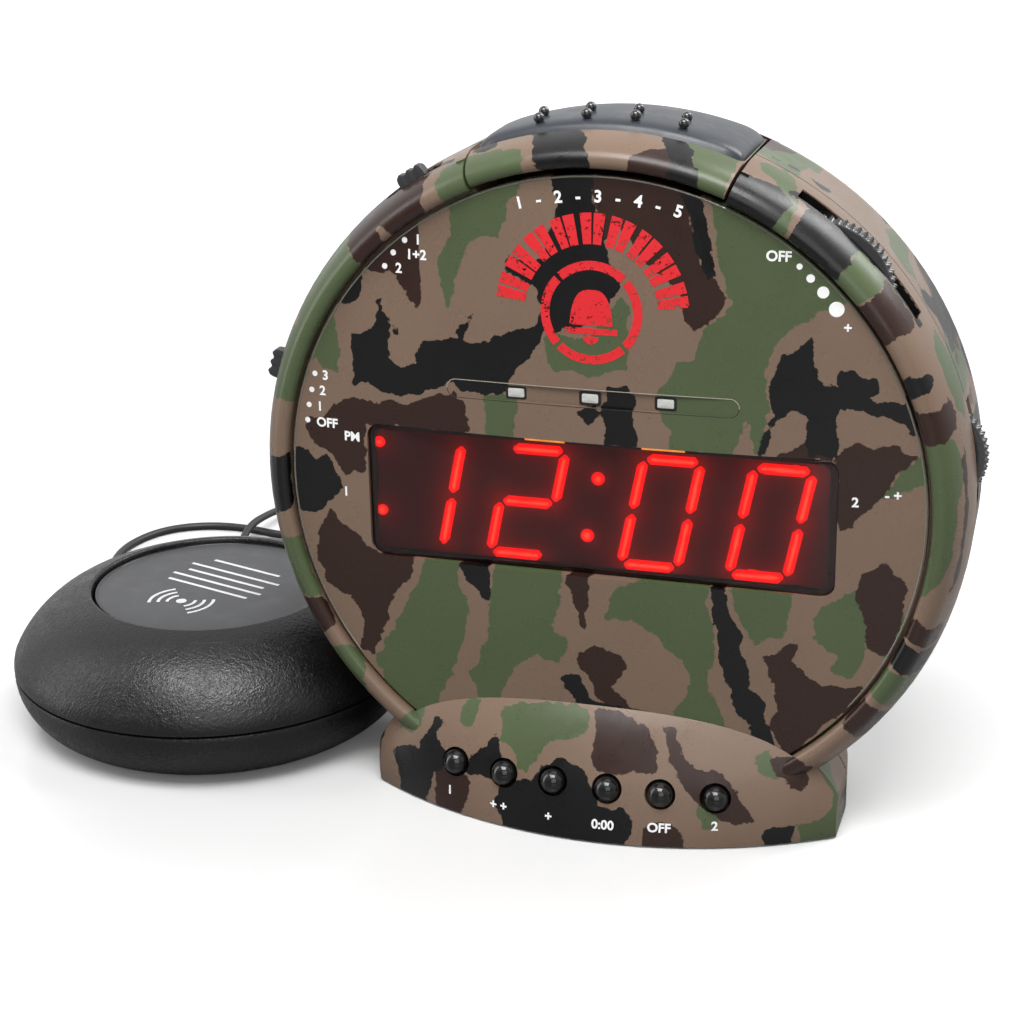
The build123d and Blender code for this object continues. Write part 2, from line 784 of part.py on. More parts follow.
def make_rear_case():
    """Rear shell with its grille, battery opening, jack holes and bosses."""
    case = rear_form(0, rear_seam) + rear_base(0, rear_seam)
    case -= rear_form(wall, rear_seam - overrun / 2)
    case -= rear_base(wall, rear_seam - overrun / 2)
    floor_cut = Box(4 * body_radius, 4 * body_radius, 2 * overrun + base_gap,
                    align=(Align.CENTER, Align.CENTER, Align.MIN))
    case -= Pos(0, 0, -2 * overrun) * floor_cut
    inside = rear_depth - wall
    for angle in case_screw_angles:
        x, rise = polar(case_screw_radius_place, angle)
        case += disc(screw_radius + boss_wall, case_boss_split_depth + seat_gap, inside + seat_gap, x, rise)
        case -= disc(screw_radius + seat_gap, case_boss_split_depth - overrun, rear_depth + overrun, x, rise)
        case -= disc(screw_head_radius + seat_gap, rear_depth - screw_head_height - seat_gap,
                     rear_depth + overrun, x, rise)
    for side_x in (-1, 1):
        for side_z in (-1, 1):
            x, rise = side_x * board_screw_place[0], side_z * board_screw_place[1]
            back_of_board = board_near_depth + board_thickness
            case += disc(post_radius, back_of_board, inside + seat_gap, x, rise)
            case -= disc(screw_radius + seat_gap, back_of_board - overrun,
                         back_of_board + board_screw_length, x, rise)
    for x, depth in base_screw_places[2:]:
        case += upright(x, dial_y + depth, screw_radius + boss_wall,
                        base_gap + base_plate_recess + base_plate_thickness + seat_gap,
                        arch_height) & rear_base(0, rear_seam)
        case -= upright(x, dial_y + depth, screw_radius + seat_gap, 0, base_screw_length + 2 * overrun / 3)
    for step, share in enumerate(grille_slot_shares):
        rise = speaker_rise + (step - (len(grille_slot_shares) - 1) / 2) * grille_pitch
        slot = Pos(0, rise) * SlotOverall(grille_slot_length * share, grille_slot_height)
        case -= slab(slot, inside - seat_gap, rear_depth + overrun)
    case = cut_door_opening(case)
    for side in (-1, 1):
        case -= disc(jack_collar_radius + seat_gap, inside - overrun, rear_depth + overrun,
                     side * jack_place, jack_rise)
    case -= snooze_opening(rear_seam - overrun, pad_rear_depth + snooze_side_gap)
    case += snooze_tub(rear_seam, pad_rear_depth + snooze_side_gap + tub_wall)
    half = snooze_half_angle + math.degrees(snooze_side_gap / body_radius)
    case += slab(sector(shelf_inner_radius, body_radius - wall / 2, 90, half),
                 pad_rear_depth + snooze_side_gap, pad_rear_depth + snooze_side_gap + tub_wall)
    case -= slab(sector(body_radius - 2 * wall, body_radius + overrun, tone_angle, tone_slot_half_angle),
                 rear_seam - overrun, tone_far_depth + play)
    return case


def cut_door_opening(case):
    """Opening for the battery door, with blocks that hold its pin."""
    depth, rise = door_axis_point()
    low = rise - door_knuckle_radius - 2 * door_gap
    high = battery_rise + door_height / 2 + door_gap
    block_x = door_half_width + door_gap + hinge_block / 2
    inside = rear_depth - wall
    for side in (-1, 1):
        case += block(side * block_x, rise, hinge_block, 2 * hinge_block, depth - hinge_block,
                      inside + seat_gap)
    width = 2 * (door_half_width + door_gap)
    case -= block(0, (low + high) / 2, width, high - low, inside - overrun, rear_depth + overrun)
    pin_length = 2 * (door_half_width + door_gap + door_pin_reach)
    return case - pin_rod(door_pin_radius, pin_length + 2 * seat_gap)


def pin_rod(radius, length):
    """Rod on the battery door's hinge axis."""
    depth, rise = door_axis_point()
    rod = Rot(0, 90, 0) * Cylinder(radius, length)
    return Pos(0, dial_y + depth, dial_height + rise) * rod


# Snooze bar

def make_snooze_bar():
    """Camouflage segment of the ring with the deck under the pad, its guide posts and switch peg."""
    front = spun(ring_edge(snooze_inner_radius) + [
        Line((body_radius, shoulder_depth), (body_radius, pad_rear_depth)),
        Line((body_radius, pad_rear_depth), (deck_inner_radius, pad_rear_depth)),
        Line((deck_inner_radius, pad_rear_depth), (deck_inner_radius, snooze_lip_depth)),
        Line((deck_inner_radius, snooze_lip_depth), (snooze_inner_radius, snooze_lip_depth)),
        Line((snooze_inner_radius, snooze_lip_depth), (snooze_inner_radius, crest_depth + bezel_edge)),
    ])
    bar = front & slab(sector(shelf_inner_radius, body_radius + overrun, 90, snooze_half_angle),
                       -overrun, pad_rear_depth + overrun)
    bar -= slab(sector(deck_outer_radius, body_radius + overrun, 90, 2 * snooze_half_angle),
                pad_front_depth, pad_rear_depth + overrun)
    for side in (-1, 1):
        x = side * snooze_post_place
        top = dial_height + math.sqrt(deck_inner_radius ** 2 - x ** 2) + seat_gap
        bar += upright(x, dial_y + snooze_post_depth, snooze_post_radius,
                       dial_height + snooze_post_end_radius - snooze_post_radius, top)
    peg_low = snooze_switch_top() - snooze_peg_reach
    bar += upright(0, dial_y + snooze_post_depth, snooze_peg_radius, peg_low,
                   dial_height + deck_inner_radius + seat_gap)
    return bar


def snooze_switch_top():
    """Height of the snooze switch's upper face."""
    return dial_height + shelf_inner_radius + shelf_thickness + push_switch_height - seat_gap


def make_snooze_switch():
    """Push switch on the shelf under the snooze bar."""
    top = snooze_switch_top()
    low = top - push_switch_height + seat_gap
    switch = Pos(0, dial_y + snooze_post_depth, (low + top) / 2) * Box(
        push_switch_size, push_switch_size, top - low)
    return switch - upright(0, dial_y + snooze_post_depth, snooze_peg_radius + play,
                            top - push_bore_depth, top + overrun)


def make_snooze_pad():
    """Pad on the deck with sloped front and rear edges and eight domed bumps."""
    front_radius = deck_outer_radius + small_edge
    outline = FilletPolyline(
        (deck_outer_radius, pad_front_depth), (front_radius, pad_front_depth),
        (pad_radius, pad_front_depth + pad_slope), (pad_radius, pad_rear_depth - pad_slope / 2),
        (front_radius, pad_rear_depth), (deck_outer_radius, pad_rear_depth),
        radius=[0, pad_slope, pad_slope / 2, 0])
    closing = Line((deck_outer_radius, pad_rear_depth), (deck_outer_radius, pad_front_depth))
    pad = spun([outline, closing])
    pad &= slab(sector(shelf_inner_radius, pad_radius + overrun, 90, snooze_half_angle),
                -overrun, pad_rear_depth + overrun)
    for angle in bump_angles:
        for depth in bump_depths:
            plane = radial_plane(angle, pad_radius + bump_rise, depth)
            pad += on_plane(plane, Sphere(bump_radius))
    return pad


# Keys

def make_key(point):
    """Domed key with a flange behind the hood and a stem into its switch."""
    dome_centre = point.Z + key_stand - key_radius
    flange_top = point.Z - key_boss_depth - play
    key = in_key_frame(point.X, point.Y, key_radius, flange_top - key_flange_thickness, dome_centre)
    key += on_plane(key_frame(), Pos(point.X, point.Y, dome_centre) * Sphere(key_radius))
    key += in_key_frame(point.X, point.Y, key_flange_radius, flange_top - key_flange_thickness, flange_top)
    stem_end = -key_board_depth + push_switch_height - snooze_peg_reach
    key += in_key_frame(point.X, point.Y, key_stem_radius, stem_end, flange_top)
    return key


def make_key_board():
    """Long narrow board behind the keys."""
    board = Pos(0, -key_peg_drop, -key_board_depth) * Box(
        2 * key_board_half_length, key_board_height, key_board_thickness,
        align=(Align.CENTER, Align.CENTER, Align.MAX))
    return on_plane(key_frame(), board)


def make_key_switches():
    """Six push switches on the key board."""
    switches = []
    for point in key_points():
        body = Pos(point.X, point.Y, -key_board_depth) * Box(
            push_switch_size, push_switch_size, push_switch_height,
            align=(Align.CENTER, Align.CENTER, Align.MIN))
        bore = Pos(point.X, point.Y, -key_board_depth + push_switch_height - push_bore_depth) * Cylinder(
            key_stem_radius + play, overrun, align=(Align.CENTER, Align.CENTER, Align.MIN))
        switches.append(on_plane(key_frame(), body - bore))
    return Compound(children=switches)


# Thumbwheels

def make_wheel(angle, radius, reach, near, far, teeth):
    """Knurled thumbwheel with a bore for its pot's shaft."""
    x, rise = polar(reach - radius, angle)
    step = 180 / teeth
    rim = [polar(radius if i % 2 else radius - tooth_depth, i * step) for i in range(2 * teeth)]
    wheel = slab(Pos(x, rise) * make_face(Polyline(rim, close=True)), near, far)
    return wheel - disc(pot_shaft_radius + running_fit, near - overrun, far + overrun, x, rise)


def make_volume_pot():
    """Volume pot: shaft in the wheel, round body and a tab on the main board."""
    x, rise = polar(volume_reach - volume_radius, volume_angle)
    pot = disc(pot_shaft_radius, volume_near_depth, volume_far_depth + play, x, rise)
    pot += disc(pot_radius, volume_far_depth + play, board_near_depth, x, rise)
    tab_low = board_half_height - pot_tab_width
    tab_near = board_near_depth - pot_tab_thickness
    return pot + block(x, (tab_low + rise) / 2, pot_tab_width, rise - tab_low, tab_near, board_near_depth)


def make_tone_pot():
    """Tone pot: shaft in the wheel, round body and a tab behind the main board."""
    x, rise = polar(tone_reach - tone_radius, tone_angle)
    pot = disc(pot_shaft_radius, tone_near_depth, tone_far_depth + play, x, rise)
    pot += disc(pot_radius, tone_far_depth + play, tone_pot_back_depth, x, rise)
    board_back = board_near_depth + board_thickness
    tab_left = board_half_width - pot_tab_width
    return pot + block((tab_left + x) / 2, rise, x - tab_left, pot_tab_width, board_back,
                       board_back + pot_tab_thickness)


# Slide switches

def slide_slot(angle, positions, inner, outer):
    """Slot for a slide knob over its whole travel."""
    low, high = (step * slide_pitch for step in positions)
    length = slide_knob_length + high - low + 2 * play
    cutter = Pos((low + high) / 2, 0) * Box(length, slide_knob_width + 2 * play, outer - inner,
                                            align=(Align.CENTER, Align.CENTER, Align.MIN))
    return on_plane(radial_plane(angle, inner, slide_depth), cutter)


def make_slide_knob(angle):
    """Slide knob with two grip grooves."""
    height = slide_knob_outer_radius - slide_knob_inner_radius
    knob = Box(slide_knob_length, slide_knob_width, height, align=(Align.CENTER, Align.CENTER, Align.MIN))
    for side in (-1, 1):
        knob -= Pos(side * slide_knob_length / 6, 0, height) * Box(
            slide_groove, slide_knob_width, 2 * slide_groove)
    return on_plane(radial_plane(angle, slide_knob_inner_radius, slide_depth), knob)


def make_slide_body(angle, positions):
    """Switch body inside the ring with a pocket for the knob's foot."""
    low, high = (step * slide_pitch for step in positions)
    plane = radial_plane(angle, slide_body_inner_radius, slide_depth)
    body = Pos((low + high) / 2, 0) * Box(
        slide_body_length, slide_body_width, slide_body_outer_radius - slide_body_inner_radius,
        align=(Align.CENTER, Align.CENTER, Align.MIN))
    pocket = slide_slot(angle, positions, slide_knob_inner_radius - play, body_radius)
    return on_plane(plane, body) - pocket


# Boards, speaker, battery and jacks

def make_main_board():
    """Main board with a chip and two capacitors on its back."""
    back = board_near_depth + board_thickness
    board = block(0, 0, 2 * board_half_width, 2 * board_half_height, board_near_depth, back)
    for side_x in (-1, 1):
        for side_z in (-1, 1):
            board -= disc(screw_radius + seat_gap, board_near_depth - overrun, back + overrun,
                          side_x * board_screw_place[0], side_z * board_screw_place[1])
    board += block(*chip_place, chip_size, chip_size, back, back + chip_height)
    for x, rise in capacitor_places:
        board += disc(capacitor_radius, back, back + capacitor_height, x, rise)
    return board


def make_board_screws():
    """Four screws that hold the main board to the rear posts."""
    screws = []
    for side_x in (-1, 1):
        for side_z in (-1, 1):
            x, rise = side_x * board_screw_place[0], side_z * board_screw_place[1]
            screw = disc(screw_head_radius, board_near_depth - screw_head_height, board_near_depth, x, rise)
            end = board_near_depth + board_thickness + board_screw_length - seat_gap
            screws.append(screw + disc(screw_radius, board_near_depth, end, x, rise))
    return Compound(children=screws)


def make_case_screws():
    """Four long screws through the rear case into the front case."""
    screws = []
    for angle in case_screw_angles:
        x, rise = polar(case_screw_radius_place, angle)
        head = disc(screw_head_radius, rear_depth - screw_head_height, rear_depth, x, rise)
        start = ledge_back + overrun
        screws.append(head + disc(screw_radius, start, rear_depth - screw_head_height, x, rise))
    return Compound(children=screws)


def make_speaker_frame():
    """Basket of the speaker against the rear wall."""
    back = rear_depth - wall - seat_gap
    frame = disc(speaker_radius, back - speaker_frame_depth, back, 0, speaker_rise)
    hollow = speaker_radius - speaker_rim
    frame -= disc(hollow, back - speaker_frame_depth + speaker_rim / 2, back + overrun, 0, speaker_rise)
    return frame


def make_speaker_cone():
    """Shallow cone inside the basket."""
    back = rear_depth - wall - seat_gap
    outer = speaker_radius - speaker_rim - seat_gap
    near = back - speaker_frame_depth + speaker_rim / 2 + seat_gap
    flare = [(0, near), (speaker_magnet_radius / 2, near), (outer, back - speaker_cone_thickness),
             (outer, back), (speaker_magnet_radius / 2, near + speaker_cone_thickness),
             (0, near + speaker_cone_thickness)]
    cone = spun([Polyline(flare, close=True)])
    return Pos(0, 0, speaker_rise) * cone


def make_speaker_magnet():
    """Magnet on the front of the basket, towards the board."""
    back = rear_depth - wall - seat_gap - speaker_frame_depth
    return disc(speaker_magnet_radius, back - speaker_magnet_depth, back, 0, speaker_rise)


def battery_back():
    """Depth of the battery's rear face, just inside the door."""
    return rear_depth - door_thickness - battery_gap


def make_battery():
    """Block battery with two studs at its end."""
    back = battery_back()
    body = block(battery_middle, battery_rise, battery_length, battery_width, back - battery_thickness, back)
    stud = Rot(0, 90, 0) * Cylinder(battery_stud_radius, battery_stud_length + small_edge,
                                    align=(Align.CENTER, Align.CENTER, Align.MIN))
    x = battery_middle - battery_length / 2 - battery_stud_length
    for side in (-1, 1):
        rise = battery_rise + side * battery_width / 4
        body += Pos(x, dial_y + back - battery_thickness / 2, dial_height + rise) * stud
    return body


def make_battery_tray():
    """Open box for the battery behind the rear wall."""
    back = rear_depth - wall - seat_gap
    near = battery_back() - battery_thickness - seat_gap - tray_wall
    length = 2 * (door_half_width - tray_wall)
    height = battery_width + 2 * seat_gap
    tray = block(0, battery_rise, length + 2 * tray_wall, height + 2 * tray_wall, near, back)
    return tray - block(0, battery_rise, length, height, near + tray_wall, back + overrun)


def make_battery_contacts():
    """Contact plate at the studs' end of the tray."""
    back = battery_back()
    x = -(door_half_width - tray_wall) + contact_thickness / 2 + seat_gap / 2
    return block(x, battery_rise, contact_thickness - seat_gap, battery_width - 2 * seat_gap,
                 back - battery_thickness, back)


def make_battery_door():
    """Door flush with the rear wall, with a knuckle for its pin and a finger grip."""
    depth, rise = door_axis_point()
    door = block(0, battery_rise, 2 * door_half_width, door_height, rear_depth - door_thickness, rear_depth)
    knuckle = pin_rod(door_knuckle_radius, 2 * door_half_width)
    web = block(0, rise + door_knuckle_radius / 2, 2 * door_half_width, door_knuckle_radius,
                depth, rear_depth)
    door = door + knuckle + web
    grip = Pos(0, battery_rise + door_height / 3) * SlotOverall(door_grip_width, 2 * door_knuckle_radius)
    door -= slab(grip, rear_depth - door_grip_depth, rear_depth + overrun)
    return door - pin_rod(door_pin_radius + running_fit, 3 * door_half_width)


def make_door_pin():
    """Steel pin of the battery door."""
    return pin_rod(door_pin_radius, 2 * (door_half_width + door_gap + door_pin_reach))


def jack_shape(side):
    """Jack body inside the rear wall with a round collar through it."""
    inside = rear_depth - wall - seat_gap
    jack = block(side * jack_place, jack_rise, jack_body_size, jack_body_size,
                 inside - jack_body_depth, inside)
    return jack + disc(jack_collar_radius, inside, rear_depth, side * jack_place, jack_rise)


def make_power_jack():
    """Inlet for the power lead: a round socket with a centre pin."""
    jack = jack_shape(1)
    floor_depth = rear_depth - power_bore_depth
    jack -= disc(power_bore_radius, floor_depth, rear_depth + overrun, jack_place, jack_rise)
    return jack + disc(power_pin_radius, floor_depth, rear_depth - small_edge, jack_place, jack_rise)


def make_shaker_jack():
    """Socket that the shaker's plug sits in."""
    jack = jack_shape(-1)
    return jack - disc(shaker_bore_radius, rear_depth - plug_tip_length - seat_gap,
                       rear_depth + overrun, -jack_place, jack_rise)


# Base plate and feet

def make_base_plate():
    """Bottom cover inside the shells' rim, with pockets for the feet and screw heads."""
    low = base_gap + base_plate_recess
    inset = wall + play
    space = hood_body(inset, -overrun, dial_y + seam_depth) + rear_base(inset, seam_depth)
    layer = Pos(0, 0, low) * Box(4 * body_radius, 4 * body_radius, base_plate_thickness,
                                 align=(Align.CENTER, Align.CENTER, Align.MIN))
    plate = space & layer
    for x, depth in foot_places:
        plate -= upright(x, dial_y + depth, foot_radius + seat_gap, 0, foot_height)
    for x, depth in base_screw_places:
        plate -= upright(x, dial_y + depth, screw_radius + seat_gap, 0, 2 * overrun)
        plate -= upright(x, dial_y + depth, screw_head_radius + seat_gap, 0, low + screw_head_height - seat_gap)
    return plate


def make_base_screws():
    """Four screws that hold the base plate."""
    low = base_gap + base_plate_recess
    screws = []
    for x, depth in base_screw_places:
        head = upright(x, dial_y + depth, screw_head_radius, low, low + screw_head_height - seat_gap)
        screws.append(head + upright(x, dial_y + depth, screw_radius, low, low + base_screw_length))
    return Compound(children=screws)


def make_rubber_feet():
    """Four rubber feet in their pockets."""
    return Compound(children=[upright(x, dial_y + depth, foot_radius, 0, foot_height)
                              for x, depth in foot_places])


# Shaker

def shaker_spun(edges):
    """A profile in (radius, height), turned about the shaker's axis."""
    plane = Plane(origin=(shaker_x, shaker_y, 0), x_dir=(1, 0, 0), z_dir=(0, -1, 0))
    return revolve(plane * make_face(edges), axis=SHAKER_AXIS)


def shaker_dome(inset):
    """Upper outline from the rim to the seam, as (radius, height) edges and its end points."""
    rim = (shaker_rim_radius, shaker_top_height - inset)
    crease = (shaker_crease_radius - inset, shaker_crease_height - inset / 2)
    across, down = crease[0] - rim[0], rim[1] - crease[1]
    middle = (rim[0] + across * dome_middle_shares[0], crease[1] + down * dome_middle_shares[1])
    seam = (shaker_radius - inset, shaker_seam_height + shaker_seam_gap / 2)
    return [ThreePointArc(rim, middle, crease), Line(crease, seam)], rim, seam


def make_shaker_upper():
    """Upper shell with the recess for the label and three screw bosses."""
    outline, rim, seam = shaker_dome(0)
    edge = shaker_label_radius + seat_gap
    recess_low = shaker_label_height - shaker_label_thickness - seat_gap
    top_inner = recess_low - shaker_wall
    shell = shaker_spun(outline + [
        Line(seam, (0, seam[1])), Line((0, seam[1]), (0, recess_low)),
        Line((0, recess_low), (edge, recess_low)), Line((edge, recess_low), (edge, shaker_top_height)),
        Line((edge, shaker_top_height), rim)])
    inner, inner_rim, inner_seam = shaker_dome(shaker_wall)
    shell -= shaker_spun(inner + [
        Line(inner_seam, (0, inner_seam[1])), Line((0, inner_seam[1]), (0, top_inner)),
        Line((0, top_inner), (inner_rim[0] - shaker_wall, top_inner)),
        Line((inner_rim[0] - shaker_wall, top_inner), inner_rim)])
    for angle in shaker_screw_angles:
        x, y = polar(shaker_screw_place, angle)
        shell += upright(shaker_x + x, shaker_y + y, screw_radius + boss_wall,
                         shaker_seam_height, recess_low - seat_gap)
        shell -= upright(shaker_x + x, shaker_y + y, screw_radius + seat_gap,
                         0, shaker_wall + shaker_screw_length)
    return shell - grommet_shape(play / 2)


def shaker_bowl(inset):
    """Lower outline from the flat bottom to the seam."""
    foot = (shaker_flat_radius, inset)
    seam = (shaker_radius - inset, shaker_seam_height - shaker_seam_gap / 2)
    share = math.sqrt(0.5)
    middle = (foot[0] + (seam[0] - foot[0]) * share, seam[1] - (seam[1] - foot[1]) * share)
    return ThreePointArc(foot, middle, seam), foot, seam


def make_shaker_lower():
    """Lower shell with a flat bottom and three screw tubes."""
    curve, foot, seam = shaker_bowl(0)
    shell = shaker_spun([curve, Line(seam, (0, seam[1])), Line((0, seam[1]), (0, 0)), Line((0, 0), foot)])
    curve, foot, seam = shaker_bowl(shaker_wall)
    shell -= shaker_spun([curve, Line(seam, (0, seam[1])), Line((0, seam[1]), (0, foot[1])),
                          Line((0, foot[1]), foot)])
    for angle in shaker_screw_angles:
        x, y = polar(shaker_screw_place, angle)
        low = screw_head_height + seat_gap
        shell += upright(shaker_x + x, shaker_y + y, screw_radius + boss_wall, shaker_wall - seat_gap,
                         shaker_seam_height - seat_gap)
        shell -= upright(shaker_x + x, shaker_y + y, screw_radius + seat_gap, 0, shaker_radius)
        shell -= upright(shaker_x + x, shaker_y + y, screw_head_radius + seat_gap, 0, low)
    return shell - grommet_shape(play / 2)


def make_shaker_screws():
    """Three screws that hold the shaker's shells together."""
    screws = []
    for angle in shaker_screw_angles:
        x, y = polar(shaker_screw_place, angle)
        low = seat_gap
        head = upright(shaker_x + x, shaker_y + y, screw_head_radius, low, low + screw_head_height)
        screws.append(head + upright(shaker_x + x, shaker_y + y, screw_radius, low,
                                     shaker_wall + shaker_screw_length - seat_gap))
    return Compound(children=screws)


def make_label_disc():
    """Thin disc in the top recess."""
    return upright(shaker_x, shaker_y, shaker_label_radius, shaker_label_height - shaker_label_thickness,
                   shaker_label_height)


def along_motor(radius, start, end):
    """Cylinder on the motor's axis, measured from the motor's middle."""
    rod = Rot(0, 90, 0) * Cylinder(radius, end - start, align=(Align.CENTER, Align.CENTER, Align.MIN))
    return Pos(shaker_x + motor_middle + start, shaker_y, motor_height) * rod


def make_motor():
    """Motor can with its front bearing neck."""
    face = motor_length / 2
    motor = along_motor(motor_radius, -face, face)
    motor += along_motor(motor_neck_radius, face, face + motor_neck_length)
    return motor - along_motor(shaft_radius + running_fit, face - overrun, face + overrun)


def make_motor_shaft():
    """Shaft that carries the weight."""
    face = motor_length / 2
    return along_motor(shaft_radius, face - overrun + seat_gap, face + shaft_length)


def make_eccentric_weight():
    """Half disc on a hub, heavy side down at rest."""
    start = motor_length / 2 + weight_place
    weight = along_motor(weight_radius, start, start + weight_thickness)
    upper = Pos(shaker_x + motor_middle + start + weight_thickness / 2, shaker_y, motor_height) * Box(
        2 * weight_thickness, 3 * weight_radius, 2 * weight_radius,
        align=(Align.CENTER, Align.CENTER, Align.MIN))
    weight -= upper
    weight += along_motor(weight_hub_radius, start, start + weight_thickness)
    return weight - along_motor(shaft_radius, start - overrun, start + 2 * overrun)


def make_motor_clamp():
    """Two saddles on a foot plate, fixed to the lower shell."""
    low = shaker_wall
    saddles = None
    for place in clamp_places:
        saddle = Pos(shaker_x + motor_middle + place, shaker_y, low) * Box(
            clamp_width, 2 * (motor_radius + clamp_wall), motor_height - low,
            align=(Align.CENTER, Align.CENTER, Align.MIN))
        saddles = saddle if saddles is None else saddles + saddle
    span = clamp_places[1] - clamp_places[0]
    middle = (clamp_places[0] + clamp_places[1]) / 2
    foot = Pos(shaker_x + motor_middle + middle, shaker_y, low) * Box(
        span, 2 * (motor_radius + clamp_wall), clamp_wall / 2, align=(Align.CENTER, Align.CENTER, Align.MIN))
    return saddles + foot - along_motor(motor_radius + seat_gap, -motor_length, motor_length)


# Cord

def grommet_direction():
    """Level direction in which the cord leaves the shaker."""
    x, y = polar(1, grommet_angle)
    return Vector(x, y, 0)


def grommet_shape(grow):
    """Tapered strain relief through the lower shell."""
    direction = grommet_direction()
    start = Vector(shaker_x, shaker_y, grommet_height) + direction * grommet_inner_place
    length = grommet_outer_place - grommet_inner_place
    plane = Plane(origin=start, z_dir=direction)
    cone = Cone(grommet_root_radius + grow, grommet_tip_radius + grow, length,
                align=(Align.CENTER, Align.CENTER, Align.MIN))
    return on_plane(plane, cone)


def shaker_exit():
    """Where the cord leaves the strain relief."""
    return Vector(shaker_x, shaker_y, grommet_height) + grommet_direction() * grommet_outer_place


def plug_exit():
    """Where the cord leaves the plug."""
    back = dial_y + rear_depth + small_edge + plug_body_length + plug_relief_length
    return Vector(-jack_place, back, dial_height + jack_rise)


def make_cord_plug():
    """Plug in the shaker's socket with a tapered relief."""
    body_near = rear_depth + small_edge
    body_far = body_near + plug_body_length
    plug = disc(plug_tip_radius, rear_depth - plug_tip_length, body_near, -jack_place, jack_rise)
    plug += disc(plug_body_radius, body_near, body_far, -jack_place, jack_rise)
    relief = Cone(plug_body_radius - small_edge, plug_relief_radius, plug_relief_length,
                  align=(Align.CENTER, Align.CENTER, Align.MIN))
    origin = (-jack_place, dial_y + body_far, dial_height + jack_rise)
    return plug + on_plane(Plane(origin=origin, z_dir=(0, 1, 0)), relief)


def corner_radii(points):
    """Radius at each corner: 0.45 of the shorter run over the tangent of half the turn."""
    radii = []
    for before, here, after in zip(points, points[1:], points[2:]):
        turn = (here - before).get_angle(after - here)
        shorter = min((here - before).length, (after - here).length)
        radii.append(0.45 * shorter / math.tan(math.radians(turn) / 2))
    return radii


def make_cord(name, points):
    """Tube of straight runs and tangent arcs through a route, with its sizes printed."""
    radii = corner_radii(points)
    path = FilletPolyline(*points, radius=radii)
    tube = sweep(Plane(origin=points[0], z_dir=points[1] - points[0]) * Circle(cord_radius), path=path)
    expected = math.pi * cord_radius ** 2 * path.length
    print(name, "length", round(path.length, 1), "volume", round(tube.volume, 1), "of", round(expected, 1))
    print(name, "radii", [round(radius, 1) for radius in radii])
    return tube


def coil_station(step):
    """Point and direction of the coil after a number of quarter turns."""
    layer_steps = coil_turns_in_layer * quarter_steps
    cycle = layer_steps + 2
    layer, rest = divmod(step, cycle)
    outer = coil_middle_radius + coil_turns_in_layer * coil_pitch / 2
    inner = coil_middle_radius - coil_turns_in_layer * coil_pitch / 2
    inwards = layer % 2 == 0
    start, end = (outer, inner) if inwards else (inner, outer)
    in_layer = min(rest, layer_steps)
    radius = start + (end - start) * in_layer / layer_steps
    climb = max(rest - layer_steps, 0) / 2
    height = cord_floor + coil_pitch * (layer + climb)
    angle = math.radians(-90 + step * 90)
    flat = 0 < rest < layer_steps
    radial_rate = (end - start) / layer_steps / math.radians(90) if flat else 0
    climb_rate = 1.5 * coil_pitch / math.pi if rest == layer_steps + 1 else 0
    point = Vector(coil_x + radius * math.cos(angle), coil_y + radius * math.sin(angle), height)
    along = Vector(radial_rate * math.cos(angle) - radius * math.sin(angle),
                   radial_rate * math.sin(angle) + radius * math.cos(angle), climb_rate)
    return point, along.normalized()


def biarc(start, start_along, end, end_along):
    """Two tangent arcs from one point and direction to another."""
    chord = end - start
    both = start_along + end_along
    spread = 2 * (1 - start_along.dot(end_along))
    reach = (-chord.dot(both) + math.sqrt(chord.dot(both) ** 2 + spread * chord.dot(chord))) / spread
    first = start + start_along * reach
    second = end - end_along * reach
    meeting = (first + second) / 2
    return [TangentArc(start, meeting, tangent=start_along),
            TangentArc(meeting, end, tangent=second - first)]


def coil_steps():
    """Number of quarter turns in the coil."""
    return coil_layers * coil_turns_in_layer * quarter_steps + 2 * (coil_layers - 1)


def coil_ends():
    """Both ends of the coil's straight leads."""
    start, start_along = coil_station(0)
    last, last_along = coil_station(coil_steps())
    return start - start_along * coil_lead, start_along, last + last_along * coil_lead, last_along


def least_self_gap(points, turn_points):
    """Least distance between stretches of the coil that are at least half a turn apart."""
    least = math.inf
    for i, here in enumerate(points):
        for there in points[i + turn_points // 2:]:
            least = min(least, (here - there).length)
    return least - 2 * cord_radius


def make_cord_coil():
    """Piled coil of the cord: one unbroken tube of biarcs with a straight lead at each end."""
    entry, entry_along, leave, leave_along = coil_ends()
    stations = [coil_station(step) for step in range(coil_steps() + 1)]
    edges = [Line(entry, stations[0][0])]
    for (start, start_along), (end, end_along) in zip(stations, stations[1:]):
        edges += biarc(start, start_along, end, end_along)
    edges.append(Line(stations[-1][0], leave))
    path = Wire(edges)
    tube = sweep(Plane(origin=entry, z_dir=entry_along) * Circle(cord_radius), path=path)
    samples = [edge @ (share / 3) for edge in edges for share in range(3)]
    print("cord_coil length", round(path.length, 1), "volume", round(tube.volume, 1),
          "of", round(math.pi * cord_radius ** 2 * path.length, 1))
    print("cord_coil least gap to itself", round(least_self_gap(samples, 6 * quarter_steps), 2))
    return tube


